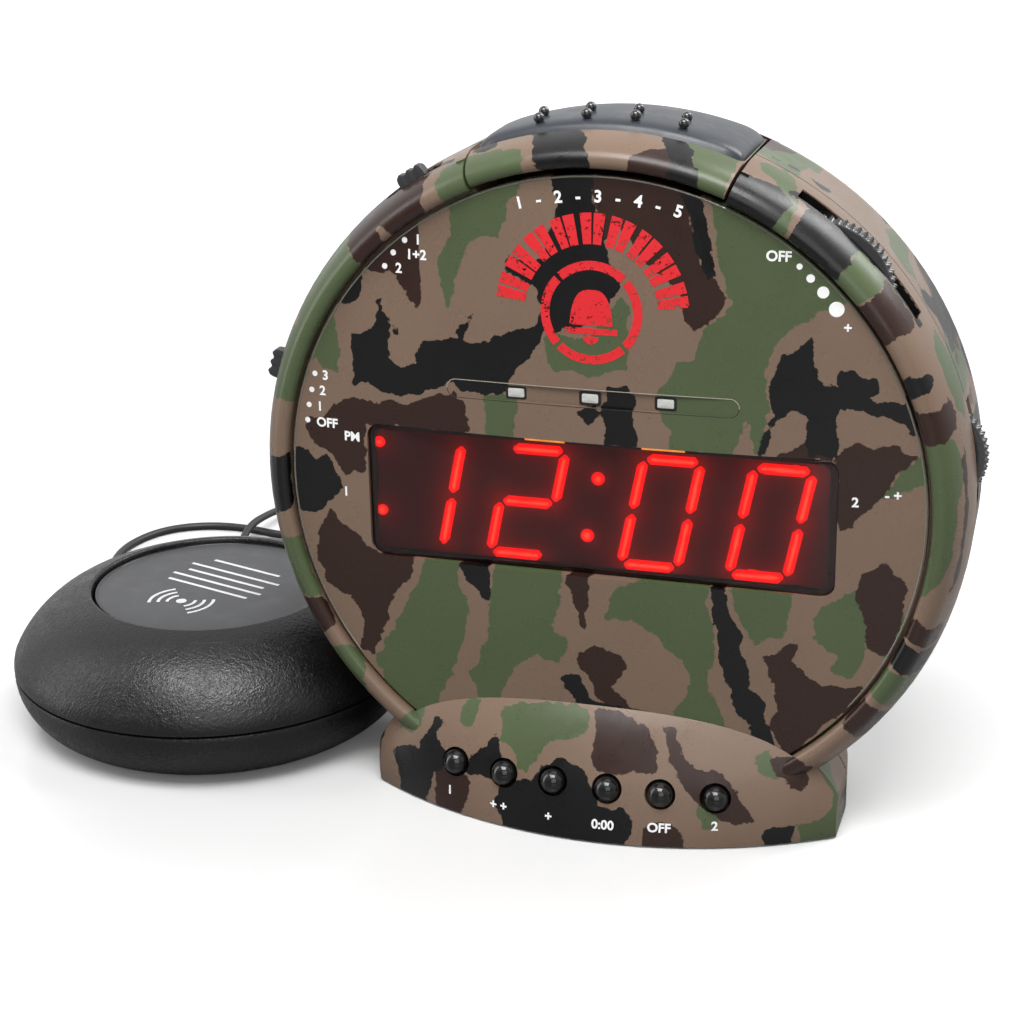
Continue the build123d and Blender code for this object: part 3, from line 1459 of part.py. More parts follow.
def make_coil_tie():
    """Band round one side of the coil."""
    half_width = coil_turns_in_layer * coil_pitch / 2 + cord_radius + tie_gap
    low = cord_floor - cord_radius
    high = cord_floor + (coil_layers - 1) * coil_pitch + cord_radius + tie_gap
    plane = Plane(origin=(coil_x + coil_middle_radius, coil_y, low), x_dir=(1, 0, 0), z_dir=(0, -1, 0))
    middle = (high - low) / 2
    outer = RectangleRounded(2 * (half_width + tie_thickness), high - low + 2 * tie_thickness, 2 * cord_radius)
    inner = RectangleRounded(2 * half_width, high - low, cord_radius)
    band = extrude(plane * (Pos(0, middle) * (outer - inner)), amount=tie_width / 2, both=True)
    floor_cut = Box(4 * body_radius, 4 * body_radius, overrun, align=(Align.CENTER, Align.CENTER, Align.MAX))
    return band - Pos(coil_x, coil_y, 0) * floor_cut


def cord_to_coil_points():
    """Route from the shaker to the coil."""
    entry, entry_along, leave, leave_along = coil_ends()
    first = shaker_exit() + grommet_direction() * grommet_lead
    return [shaker_exit(), first] + [Vector(*point) for point in shaker_route] + [entry]


def cord_to_plug_points():
    """Route from the coil to the plug."""
    entry, entry_along, leave, leave_along = coil_ends()
    first = leave + leave_along * coil_leave_run
    last = plug_exit() + Vector(0, plug_lead, 0)
    return [leave, first] + [Vector(*point) for point in plug_route] + [last, plug_exit()]


os.makedirs("parts", exist_ok=True)

write("front_panel", make_front_panel())
write("front_case", make_front_case())
write("rear_case", make_rear_case())
write("base_plate", make_base_plate())
write("display_window", make_display_window())
write("display_housing", make_display_housing())
write("led_module", make_led_module())
write("led_segments", make_led_segments())
write("lamp_lenses", make_lamp_lenses())
write("lamp_board", make_lamp_board())
write("snooze_bar", make_snooze_bar())
write("snooze_pad", make_snooze_pad())
write("snooze_switch", make_snooze_switch())
for number, place in enumerate(key_points(), start=1):
    write(f"key_{number}", make_key(place))
write("key_board", make_key_board())
write("key_switches", make_key_switches())
write("volume_wheel", make_wheel(volume_angle, volume_radius, volume_reach, volume_near_depth,
                                 volume_far_depth, volume_teeth))
write("volume_pot", make_volume_pot())
write("tone_wheel", make_wheel(tone_angle, tone_radius, tone_reach, tone_near_depth,
                               tone_far_depth, tone_teeth))
write("tone_pot", make_tone_pot())
write("alarm_select_knob", make_slide_knob(alarm_angle))
write("alarm_select_body", make_slide_body(alarm_angle, alarm_positions))
write("mode_knob", make_slide_knob(mode_angle))
write("mode_body", make_slide_body(mode_angle, mode_positions))
write("main_board", make_main_board())
write("board_screws", make_board_screws())
write("case_screws", make_case_screws())
write("base_screws", make_base_screws())
write("speaker_frame", make_speaker_frame())
write("speaker_cone", make_speaker_cone())
write("speaker_magnet", make_speaker_magnet())
write("battery", make_battery())
write("battery_tray", make_battery_tray())
write("battery_contacts", make_battery_contacts())
write("battery_door", make_battery_door())
write("door_pin", make_door_pin())
write("power_jack", make_power_jack())
write("shaker_jack", make_shaker_jack())
write("rubber_feet", make_rubber_feet())
write("shaker_upper_shell", make_shaker_upper())
write("shaker_lower_shell", make_shaker_lower())
write("shaker_label", make_label_disc())
write("shaker_screws", make_shaker_screws())
write("shaker_motor", make_motor())
write("motor_shaft", make_motor_shaft())
write("motor_clamp", make_motor_clamp())
write("eccentric_weight", make_eccentric_weight())
write("cord_grommet", grommet_shape(0))
write("cord_plug", make_cord_plug())
write("cord_to_coil", make_cord("cord_to_coil", cord_to_coil_points()))
write("cord_coil", make_cord_coil())
write("cord_to_plug", make_cord("cord_to_plug", cord_to_plug_points()))
write("coil_tie", make_coil_tie())
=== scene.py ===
import math

import bmesh
import bpy
import numpy as np
from bpy.props import FloatProperty, FloatVectorProperty, PointerProperty
from mathutils import Matrix, Vector


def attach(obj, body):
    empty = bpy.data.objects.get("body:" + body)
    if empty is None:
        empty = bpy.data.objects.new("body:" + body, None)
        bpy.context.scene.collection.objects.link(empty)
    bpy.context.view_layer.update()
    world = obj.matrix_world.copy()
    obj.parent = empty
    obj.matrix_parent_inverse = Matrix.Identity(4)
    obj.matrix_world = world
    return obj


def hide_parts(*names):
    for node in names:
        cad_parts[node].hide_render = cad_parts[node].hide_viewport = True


# Bed shaker alarm clock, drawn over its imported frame. Shapes are worked out in millimetres in the
# frame's own directions: x to the right as you face the dial, y to the back, z up. On the clock a point
# is given as x, depth behind the dial plane, and rise above the dial's centre. Angles run round the
# dial's centre from +x, anticlockwise as you face it.

bl_info = {
    "name": "Bed shaker alarm clock",
    "version": (1, 0, 0),
    "blender": (4, 5, 0),
    "location": "3D View > Sidebar > Clock",
    "description": "Builds a camouflage alarm clock and its bed shaker over their packed frame",
    "category": "Object",
}

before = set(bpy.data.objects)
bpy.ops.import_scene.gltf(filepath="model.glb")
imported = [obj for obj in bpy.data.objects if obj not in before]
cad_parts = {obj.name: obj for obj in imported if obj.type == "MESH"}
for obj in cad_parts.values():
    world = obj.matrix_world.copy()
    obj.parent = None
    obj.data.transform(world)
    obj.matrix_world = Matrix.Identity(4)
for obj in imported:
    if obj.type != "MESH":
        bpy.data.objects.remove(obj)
bpy.context.view_layer.update()

MM = 0.001
CLOCK = "clock_body"
dial_y = -23.0
dial_height = 75.7
panel_radius = 69.6
panel_crown = 2.2
panel_rim_depth = 1.4
dome_sag = panel_crown + panel_rim_depth
dome_radius = (panel_radius ** 2 + dome_sag ** 2) / (2 * dome_sag)
body_radius = 77.9
crest_radius = 72.0
crest_depth = -0.7
shoulder_depth = 13.5
base_gap = 0.5
base_half_width = 53.0
arch_half_width = 54.5
arch_height = 29.4
arch_power = 2.5
base_front_radius = 95.8
base_front_depth = -12.0
hood_top_depth = 1.2
hood_side_depth = 4.6
side_power = 6
hood_bulge_share = 0.09
shaker_centre = (-106.0, 9.0)
volume_angle = 46.0
tone_angle = 8.5
alarm_select_angle = 122.5
mode_angle = 163.0
window_half_width = 51.2
window_half_height = 15.1
window_corner = 3.0
window_rise = -1.8
digit_rise = -2.75
digit_lean = 0.205
digit_middles = (-39.2, -16.0, 13.4, 36.9)
digit_bars = ("bc", "abged", "abcdef", "abcdef")
lamp_pitch = 16.1
lamp_bar_middle = -0.9
lamp_bar_half_length = 31.3
lamp_bar_radius = 1.8
lamp_rise = 23.1
pad_bottom = 76.9
pad_top = 79.3
key_height = 12.7
key_tilt = 20.0
key_places = (-31.3, -19.3, -7.7, 4.6, 16.3, 28.1)
key_drops = (0.2, 0.15, 0.0, 0.15, 0.4, 0.8)
key_stem_end = -12.5
ball_circles = 20
shaker_sides = 160
letter_weight = 0.03
table_tone = 0.25
table_lift = 0.47
world_tone = 0.28
camera_lens = 77.142
camera_sensor = 36.0
camera_place = (0.11197, -0.44531, 0.23827)
camera_yaw = 17.2
camera_pitch = 20.68
camera_roll = -1.04


# Meshes from whole arrays

def grid(points, wrap_rows=False, wrap_columns=False):
    """A surface as (points, faces): points[i, j] joined to its neighbours i + 1 and j + 1."""
    rows, columns = points.shape[:2]
    i = np.arange(rows if wrap_rows else rows - 1)[:, None]
    j = np.arange(columns if wrap_columns else columns - 1)[None, :]
    i_next, j_next = (i + 1) % rows, (j + 1) % columns
    corners = [i * columns + j, i * columns + j_next, i_next * columns + j_next, i_next * columns + j]
    return points.reshape(-1, 3), np.stack(np.broadcast_arrays(*corners), -1).reshape(-1, 4)


def joined(surfaces):
    """Several (points, faces) as one, each list of faces moved on by the points before it."""
    points, faces, before = [], [], 0
    for part_points, part_faces in surfaces:
        points.append(part_points)
        faces += [[int(corner) + before for corner in face] for face in part_faces]
        before += len(part_points)
    return np.concatenate(points), faces


def turned(profile, turns):
    """Points (radius cos t, radius sin t, height) for each (radius, height) of a profile."""
    t = np.radians(np.linspace(0.0, 360.0, turns, endpoint=False))[:, None]
    radius, height = profile[None, :, 0], profile[None, :, 1]
    return np.stack(np.broadcast_arrays(radius * np.cos(t), radius * np.sin(t), height), -1)


def on_clock(x, depth, rise):
    """Frame points in mm of points given on the clock."""
    return np.stack(np.broadcast_arrays(x, dial_y + depth, dial_height + rise), -1)


def dome_depth(x, rise):
    """Depth of the dial's front: R - sqrt(R^2 - r^2) - crown at r from the middle."""
    return dome_radius - np.sqrt(dome_radius ** 2 - x ** 2 - rise ** 2) - panel_crown


def hood_front_y(x, z):
    """Frame y of the hood's front at (x, z): the circle through its top, its bulged middle and its foot."""
    share = np.abs(x) / base_half_width
    level = arch_height * (1 - (np.abs(x) / arch_half_width) ** arch_power) ** (1 / arch_power)
    top_y = dial_y + hood_top_depth + (hood_side_depth - hood_top_depth) * share ** side_power
    foot_y = dial_y + base_front_depth + base_front_radius - np.sqrt(base_front_radius ** 2 - x ** 2)
    across, up = top_y - foot_y, level
    middle_y = (top_y + foot_y) / 2 - up * hood_bulge_share
    middle_z = base_gap + level / 2 + across * hood_bulge_share
    top_z = base_gap + level
    a_y, a_z, b_y, b_z = middle_y - top_y, middle_z - top_z, foot_y - top_y, base_gap - top_z
    cross = 2 * (a_y * b_z - a_z * b_y)
    square_a, square_b = a_y ** 2 + a_z ** 2, b_y ** 2 + b_z ** 2
    centre_y = top_y + (b_z * square_a - a_z * square_b) / cross
    centre_z = top_z + (a_y * square_b - b_y * square_a) / cross
    radius = np.hypot(top_y - centre_y, top_z - centre_z)
    return centre_y - np.sqrt(radius ** 2 - (z - centre_z) ** 2)


def plain_piece(name, points, faces):
    """An object at the origin from points in mm and faces."""
    mesh = bpy.data.meshes.new(name)
    mesh.from_pydata((points * MM).tolist(), [], faces)
    return placed(name, mesh)


def placed(name, data):
    """An object in the scene for a mesh, curve, lamp or camera."""
    made = bpy.data.objects.new(name, data)
    bpy.context.scene.collection.objects.link(made)
    return made


def rotated(u, v, degrees):
    """(u, v) turned about the origin: (u cos a - v sin a, u sin a + v cos a)."""
    a = math.radians(degrees)
    return u * math.cos(a) - v * math.sin(a), u * math.sin(a) + v * math.cos(a)


def blunt(value, power):
    """sgn(v) |v|^p, which squares off a circle's sine or cosine for a power below 1."""
    return np.sign(value) * np.abs(value) ** power


def attribute(mesh, name, values):
    """One number for each vertex, kept under a name that a material reads."""
    mesh.attributes.new(name, "FLOAT", "POINT").data.foreach_set("value", np.asarray(values, np.float32))


def finished(piece, body, material, nodes):
    """Puts a piece on its body with its finish, in the place of its CAD nodes."""
    piece.data.materials.append(material)
    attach(piece, body)
    if nodes:
        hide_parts(*nodes)
    return piece


def new_piece(name, surfaces, body, material, nodes=(), crease=35.0):
    """An object at the origin from (points, faces) in mm: seams and poles merged, faces turned
    outwards, smooth except where faces meet at more than the crease angle."""
    piece = plain_piece(name, *joined(surfaces))
    mesh = piece.data
    shape = bmesh.new()
    shape.from_mesh(mesh)
    bmesh.ops.remove_doubles(shape, verts=shape.verts, dist=1e-7)
    bmesh.ops.dissolve_degenerate(shape, edges=shape.edges, dist=1e-7)
    bmesh.ops.recalc_face_normals(shape, faces=shape.faces)
    shape.to_mesh(mesh)
    shape.free()
    mesh.polygons.foreach_set("use_smooth", np.ones(len(mesh.polygons), bool))
    mesh.set_sharp_from_angle(angle=math.radians(crease))
    return finished(piece, body, material, nodes)


def split_long(corners, limit):
    """Triangles, each three corners of (place, normal), with every edge over the limit halved until
    none is left: two, three or four triangles for one, two or three long edges."""
    while True:
        ahead = corners[:, [1, 2, 0]]
        long_edge = np.linalg.norm(ahead[..., :3] - corners[..., :3], axis=-1) > limit
        count = long_edge.sum(1)
        if not count.any():
            return corners
        first = np.where(count == 1, long_edge.argmax(1), 0)
        first = np.where(count == 2, ((~long_edge).argmax(1) + 1) % 3, first)
        order = (first[:, None] + np.arange(3)) % 3
        a, b, c = np.moveaxis(np.take_along_axis(corners, order[..., None], 1), 1, 0)
        ab, bc, ca = (a + b) / 2, (b + c) / 2, (c + a) / 2
        one, two, three = count == 1, count == 2, count == 3
        parts = [corners[count == 0]]
        for mask, triples in ((one, ((a, ab, c), (ab, b, c))),
                              (two, ((ab, b, bc), (a, ab, bc), (a, bc, c))),
                              (three, ((a, ab, ca), (ab, b, bc), (ca, bc, c), (ab, bc, ca)))):
            parts += [np.stack(triple, 1)[mask] for triple in triples]
        corners = np.concatenate(parts)


def fine_copy(name, node_name, limit, body, material):
    """A CAD node's own surface as a merged copy with edges no longer than a limit in mm, shaded by
    the CAD surface's normals. Returns the piece and its vertices in mm."""
    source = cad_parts[node_name].data
    source.calc_loop_triangles()
    size = len(source.loop_triangles)
    loops = np.empty(size * 3, np.int32)
    source.loop_triangles.foreach_get("loops", loops)
    corner_vertex = np.empty(len(source.loops), np.int32)
    source.loops.foreach_get("vertex_index", corner_vertex)
    places = np.empty(len(source.vertices) * 3, np.float32)
    source.vertices.foreach_get("co", places)
    normals = np.empty(len(source.loops) * 3, np.float32)
    source.corner_normals.foreach_get("vector", normals)
    places = np.round(places.reshape(-1, 3)[corner_vertex[loops]] / MM, 4)
    corners = np.concatenate([places, normals.reshape(-1, 3)[loops]], 1).astype(float).reshape(-1, 3, 6)
    corners = split_long(corners, limit)
    flat = corners.reshape(-1, 6)
    points, index = np.unique(np.round(flat[:, :3], 4), axis=0, return_inverse=True)
    faces = index.reshape(-1, 3)
    whole = (faces[:, 0] != faces[:, 1]) & (faces[:, 1] != faces[:, 2]) & (faces[:, 2] != faces[:, 0])
    piece = plain_piece(name, points, faces[whole].tolist())
    mesh = piece.data
    mesh.polygons.foreach_set("use_smooth", np.ones(len(mesh.polygons), bool))
    shading = flat[:, 3:].reshape(-1, 3, 3)[whole].reshape(-1, 3)
    mesh.normals_split_custom_set((shading / np.linalg.norm(shading, axis=1, keepdims=True)).tolist())
    return finished(piece, body, material, (node_name,)), points


# Camouflage: drawn outlines, tan showing through holes, painted green, then brown, then black

DIAL_PATCHES = {
    "black": [
        [(-10, 74), (-9.3, 68), (-8, 63.5), (-9, 60), (-10.5, 56), (-11, 52.5), (-15, 51), (-18.5, 53),
         (-20, 51), (-19, 48.5), (-15, 47), (-12.5, 45.5), (-11.5, 42), (-12.3, 38.5), (-16, 37),
         (-20, 35.7), (-23, 34), (-27, 33.1), (-29.3, 33.6), (-27.2, 37), (-26.2, 39.3), (-28.8, 37.3),
         (-30.8, 34.3), (-33.6, 33), (-36.5, 33.3), (-39, 31.5), (-39.6, 27.8), (-42.3, 26.3),
         (-44.8, 27.8), (-46.1, 29.9), (-45, 32.6), (-41.5, 35.5), (-43, 35), (-45.5, 34.5), (-46, 38),
         (-47.2, 41.3), (-48.3, 40.5), (-48.2, 36.5), (-50, 34), (-54, 33), (-54.7, 31), (-54, 27),
         (-54, 21.5), (-51, 22.3), (-48, 20.5), (-43, 20.3), (-38.5, 21), (-35, 22.5), (-31, 24.5),
         (-29, 22.5), (-22.5, 22), (-18.5, 23.5), (-18.5, 26), (-16, 29), (-13, 32), (-12, 34.5),
         (-10.8, 36.8), (-4, 37.5), (-1, 39), (3, 43), (5, 47), (4, 51), (2, 55), (0.5, 60), (-1, 66),
         (-1, 74)],
        [(17, 69), (19, 63), (20.5, 57), (22, 52), (23.5, 50), (25.5, 50.5), (24.5, 53), (23.5, 58),
         (22.5, 63), (21, 68)],
        [(44.7, 38.3), (45, 34), (46.5, 31), (48, 29.3), (50, 29), (51, 32), (53, 32.5), (55, 31),
         (57.5, 31), (58.5, 28.5), (57, 26.8), (58, 25.5), (61, 26), (64, 26), (63.5, 30), (65, 31.3),
         (68, 31), (69, 29.5), (67.5, 28), (66.5, 25.5), (67, 22), (66, 19), (64.5, 20), (64, 22),
         (60, 22.5), (57, 23.5), (53, 24.5), (50, 23), (50, 20), (51, 17), (50.5, 14), (45, 13.5),
         (44.5, 19), (44, 22.5), (41.5, 23.5), (38.5, 21), (37, 17), (36, 13.5), (35, 13.5), (35.8, 18),
         (37.5, 22.5), (36.8, 24.5), (36.2, 27.5), (37.5, 31), (39, 34.5), (42, 36.5)],
        [(3, 26), (7, 26.5), (9, 24), (8.5, 20), (9.8, 13), (2.5, 13), (2.8, 17), (1.5, 19.5),
         (-1, 17.5), (-2.5, 19), (-4, 19.5), (-1, 21.5), (1, 21.5), (2.3, 23)],
        [(-72, 3), (-69, 5.5), (-66, 6.5), (-64, 3.5), (-61, 5.5), (-59, 2), (-58, -2), (-60, -5),
         (-63, -8), (-67, -9), (-71, -8)],
        [(-58, 39.5), (-56.5, 42.5), (-54.5, 44), (-53, 47), (-51.5, 48.5), (-51, 46), (-52, 42.5),
         (-53.5, 40), (-56, 38.8)],
        [(25.5, -16), (28.5, -16), (29, -22), (32, -27), (31.5, -31), (34, -36), (33.5, -39), (37, -43),
         (36.5, -46), (39, -50), (40, -56), (36, -55), (34, -49), (31, -46), (29.5, -40), (27, -33),
         (27, -28), (25.5, -23)],
        [(-31, -16), (-23.5, -16), (-23.5, -22), (-24, -27), (-26, -23), (-29, -21.5)],
        [(-8, -41), (-4, -40.5), (-2.5, -43.5), (-1, -46), (2.5, -47), (8, -48.5), (6, -53), (0, -51),
         (-4, -47.5), (-7, -44.5)],
    ],
    "green": [
        [(-33.2, 66.5), (-32.3, 63), (-31, 60), (-32, 55), (-34.8, 50), (-34, 45.7), (-32.3, 39.8),
         (-30.7, 43), (-29, 50.7), (-27.3, 54), (-24, 56), (-20.7, 56), (-19.8, 59), (-19, 63),
         (-16.5, 66.5), (-15.3, 70.7), (-22, 74), (-30, 72)],
        [(-52, 58), (-54, 53), (-54, 49), (-56.5, 45), (-59, 41), (-58.5, 38), (-57.5, 33), (-57, 28),
         (-58, 24.5), (-62, 24.5), (-63, 28), (-64.5, 25), (-66, 21), (-68, 22.5), (-70, 20),
         (-71.5, 16), (-73, 12), (-76, 14), (-80, 20), (-76, 36), (-70, 47), (-60, 58)],
        [(21, 72), (23, 66), (24.5, 60), (25, 55), (26, 51), (27, 48.5), (28.5, 45), (26, 42),
         (23, 39.5), (22, 36), (21, 33), (17, 32), (16, 28.5), (13.5, 26), (14, 21), (16, 17.5),
         (16.5, 13), (29.5, 13), (31, 18), (32, 22), (33, 17), (35, 13), (36, 20), (37, 24), (36, 28),
         (35.6, 31), (36.2, 34.5), (38, 37.7), (41.5, 41), (46, 43.8), (50.5, 45.5), (53.5, 47.8),
         (58, 47.5), (57.5, 51), (54, 56), (46, 60), (38, 66), (30, 72)],
        [(-11, 36), (-10, 30), (-7.5, 28.3), (-4, 29), (-1, 28), (3, 29.2), (7, 30.2), (7.2, 34),
         (6.8, 39), (8, 43), (5.5, 45), (3, 41.5), (0, 37.5), (-4, 35.8), (-8, 36.5)],
        [(-24.5, 22.5), (-17, 22.5), (-16.5, 20), (-17.5, 16), (-18, 13), (-24, 13), (-23.5, 17)],
        [(-38.5, -16), (-30.5, -16), (-31, -22), (-28.5, -27), (-29.5, -31), (-31, -38), (-33.5, -44),
         (-36.5, -50), (-38, -57), (-46, -55), (-50, -49), (-52, -43), (-49.5, -39), (-46.5, -34),
         (-44, -28), (-40.5, -23)],
        [(-23, -16), (-7, -16), (-8, -24), (-10, -30), (-6, -33), (-6.5, -36), (-9, -38), (-13, -37),
         (-18, -40), (-21, -46), (-23, -52), (-28, -54), (-28, -47), (-29.5, -44), (-26, -38),
         (-24.5, -33), (-24, -28)],
        [(5, -19), (12, -16), (25, -16), (24.5, -21), (26, -26), (26.5, -32), (24.5, -37), (25.5, -42),
         (28, -48), (30, -55), (20, -56), (16, -50), (19, -45), (21, -40), (19.5, -35), (14, -30),
         (8, -26), (2.5, -26.5), (3, -22)],
        [(29.5, -16), (42.5, -16), (42, -22), (41, -28), (38, -27), (35.5, -30), (32.5, -26),
         (30.5, -22)],
        [(56, -15), (50, -18.5), (47, -22), (47.5, -27), (52, -30.5), (51.5, -34), (55, -36),
         (58, -31), (58.5, -24), (57.5, -19)],
        [(61, -18), (66, -20), (66, -29), (61.5, -31), (60, -25)],
        [(59.5, 5), (61.5, 8), (63.5, 12), (70, 17), (71, 10), (66, 8)],
    ],
    "brown": [
        [(-37.5, 70), (-36.3, 66), (-38.5, 59), (-38, 54), (-38.2, 49.8), (-37.6, 41), (-39, 39.5),
         (-41, 42), (-43.5, 46), (-46.5, 47), (-50, 47), (-53, 49), (-53.5, 52.5), (-51.5, 57.5),
         (-47.5, 61.5), (-44, 64), (-40, 70)],
        [(0, 71), (8, 72), (17, 70), (19, 64), (20.5, 58), (22, 52.5), (25, 49.5), (27.5, 45),
         (25, 41.5), (21, 39), (19, 41), (18, 46), (14, 50), (9.5, 53), (7, 58), (4, 60), (2, 56),
         (0.5, 61), (-1, 66)],
        [(-58, 17.5), (-54, 19), (-50, 18), (-46, 19), (-42, 18.5), (-37, 20.5), (-31, 22),
         (-28.5, 20), (-27.5, 16), (-27, 13), (-51.5, 13), (-52, 1.5), (-55, 2), (-57, 0.5),
         (-59.5, 4.5), (-62, 6.5), (-65, 8), (-66, 11), (-65.5, 14), (-62, 13.5), (-60, 15.5)],
        [(50.5, 13), (52, 16), (55, 17.5), (58, 16), (60, 17), (63, 17), (65, 15.5), (67, 15),
         (66, 13.5), (63.5, 12), (61.5, 8), (59.5, 5), (57, 2.5), (54.5, -1), (51.5, -2.5), (51, 3),
         (51, 9)],
        [(38, 13), (41, 15.5), (46, 17), (49.5, 14.5), (50, 13)],
        [(58.5, 49.5), (55, 44.5), (57, 41), (60, 38.5), (64, 40.5), (66, 41), (63, 45), (60.5, 49)],
        [(70, 28), (74, 24), (76, 20), (72, 19), (68.5, 18), (66.5, 19.5), (66, 24), (68, 27)],
        [(-61, -8), (-56, -12), (-50, -17), (-41, -16), (-42, -22), (-46.5, -26), (-48, -31),
         (-50.5, -38), (-52.5, -42), (-55.5, -41), (-54.5, -34), (-57, -28), (-62, -27), (-65, -20),
         (-64, -13)],
        [(-6.5, -16), (-1, -16), (-1.5, -23), (-2.5, -29), (-5, -24)],
        [(-4, -35), (0, -33), (5, -34.5), (8, -37), (5, -40.5), (3, -43), (7, -46.5), (13, -48.5),
         (18, -51), (14, -53), (6, -50), (0, -46), (-1.5, -42), (-3.5, -39)],
        [(36.5, -32), (40.5, -30), (44, -27), (43, -32), (46, -36), (52, -38), (58, -37), (57, -42),
         (51, -46), (46, -52), (42, -56), (38, -49), (40, -44), (38.5, -38)],
        [(57, -11), (62, -8), (66, -14), (65, -22), (63, -30), (59, -29), (57.5, -27), (58, -21),
         (55.5, -17)],
    ],
    "tan": [[(-47, 58), (-45, 56.5), (-44.5, 53.5), (-46.5, 51.5), (-47.2, 54)]],
}

# On the ring a point is (degrees round the dial, mm over the crest towards the back)
RING_PATCHES = {
    "black": [
        [(190, 16), (181, 16), (176.5, 0), (175.5, -3), (186, -3), (187, 0)],
        [(110.5, 14), (107.5, 13), (107, 9), (109, 7), (111.5, 9)],
        [(103.5, 17), (96, 17), (92.5, 8), (91, 0), (91, -3), (99, -3), (100, 3), (101, 9)],
        [(84, 15), (79, 15), (76, 8), (73, 0), (73, -3), (77, -3), (78.5, 4), (81, 10)],
        [(68, 7), (62, 9), (59, 6), (59, -3), (68, -3)],
        [(56.5, 10.5), (47, 10.5), (46.5, 4), (46, -3), (56, -3), (56.5, 2)],
        [(26.5, 0), (25.5, 4), (24.5, 6), (23, 3), (22.5, -3), (26.5, -3)],
        [(-21, 10), (-25, 10), (-26.5, 4), (-26, -3), (-20.5, -3), (-21.5, 4)],
    ],
    "green": [
        [(169, 16), (167, 8), (166, 0), (166, -3), (136.5, -3), (136.5, 0), (136, 12), (139, 16)],
        [(117.5, 3), (116, 7), (111.5, 8), (106, 6.5), (102, 5), (102.5, -3), (117, -3)],
        [(79, 15), (69, 15), (68.7, -3), (73, -3), (73.5, 1), (76.5, 8)],
        [(66, 17), (61, 17), (58, 6), (57, 0), (57, -3), (60.5, -3), (60.5, 4), (62.5, 9), (65.5, 12)],
        [(48, 11), (40.5, 11), (40, 5), (41, -3), (46, -3), (46.5, 4)],
        [(30, 15), (28, 10), (22, 9.5), (18, 10.5), (15.5, 14), (18, 17), (28, 17)],
        [(15.5, 4), (13, 7), (8, 7.5), (4, 5), (0, 4), (-6, 3.5), (-10, 1), (-13, -3), (15.5, -3)],
        [(-26, 13), (-31, 14), (-33, 5), (-32.5, -3), (-26.5, -3), (-27, 5)],
        [(203, 12), (196, 13), (192, 4), (192, -3), (204, -3), (202, 5)],
        [(224, 15), (214, 15), (213, 4), (215, -3), (223, -3), (224, 6)],
    ],
    "brown": [
        [(136, 16), (136.5, 0), (136.5, -3), (121, -3), (121, 0), (119.5, 6), (118, 10), (119, 16)],
        [(85, -3), (84, 3), (81, 6), (78, 6), (76.5, 0), (76, -3)],
        [(41, 10.5), (33, 10.5), (32.5, 5), (33, -3), (40.5, -3), (40, 5)],
        [(21, 9), (16, 9), (14.5, 3), (14.5, -3), (21, -3), (19.5, 4)],
        [(13, 9.5), (4, 9.5), (-4, 8.5), (-10, 8), (-11, 5.5), (-6, 6.5), (2, 7.5), (10, 7.5)],
        [(-17, 9), (-20, 9), (-21, 3), (-20, -3), (-16, -3), (-17, 3)],
        [(-34, 14), (-40, 14), (-41, 5), (-40, -3), (-33.5, -3), (-34.5, 6)],
        [(-44, 14), (-49, 14), (-50, 0), (-46, -3)],
        [(200, 17), (195, 17), (195, 14), (200, 14)],
        [(212, 15), (205, 12), (203, 4), (205, -3), (210, -3), (211, 5)],
        [(232, 14), (226, 10), (225, -3), (231, -3)],
    ],
    "tan": [
        [(156, 16), (153, 16), (151.5, 6), (153, 3), (155, 8)],
        [(130.5, -2), (128.5, -2), (129, 2.5), (130, 2)],
    ],
}

HOOD_PATCHES = {
    "black": [
        [(-37, -54.5), (-35, -56), (-37, -58.5), (-34, -62), (-31.5, -61), (-28, -62), (-25, -59),
         (-22, -56), (-20, -60), (-17, -64), (-13, -64), (-10, -60), (-6, -58), (-1, -59.5), (1, -62),
         (3, -67), (9, -67), (11, -71), (9, -76), (-19, -76), (-21, -70), (-20, -66), (-24, -65),
         (-29, -65), (-34, -64.5), (-36.5, -67), (-38, -71), (-39, -76), (-47, -76), (-47, -70),
         (-49, -66), (-47, -64), (-41, -62), (-39, -58)],
        [(38.5, -71), (45, -71), (44, -76), (38, -76)],
    ],
    "green": [
        [(-21.5, -51), (-17, -48.8), (-9, -47.9), (-1.5, -48.5), (-0.5, -52), (-4, -54.5), (-9, -55),
         (-11.5, -58), (-13.5, -62), (-16, -61.5), (-17, -58), (-20.5, -56.5)],
        [(-46, -57), (-43, -54), (-40, -54), (-41, -57), (-43, -60), (-47, -60)],
        [(-30, -50), (-26.5, -48.5), (-27, -52), (-29, -55.5), (-31.5, -55)],
        [(24, -65), (29, -66), (29, -70.5), (26, -71)],
        [(35, -56), (38, -54), (40, -57), (41, -60), (38, -59)],
        [(45, -70.5), (52.5, -70.5), (52.5, -76), (46, -76)],
    ],
    "brown": [
        [(-37, -66), (-30, -65), (-27, -67), (-28, -72), (-31, -76), (-37, -76), (-36.5, -71)],
        [(0, -48), (6, -48.5), (12, -51), (15, -55), (15, -59), (8, -60), (2, -60), (0.5, -57), (1, -54)],
        [(15.5, -50), (18, -50), (20, -55), (24, -58), (29, -58), (31, -61), (35, -66), (36.5, -69),
         (33, -70), (28, -68), (24, -65), (20, -60), (17.5, -56)],
        [(38.5, -56), (44, -55), (48, -57), (49, -60), (45.5, -63.5), (43, -61), (40.5, -59)],
        [(13, -70.5), (18, -69), (21.5, -72), (21.5, -76), (13, -76)],
    ],
    "tan": [],
}
degree_width = 1.33
patch_reach = 6.0
COATS = ("green", "brown", "black")


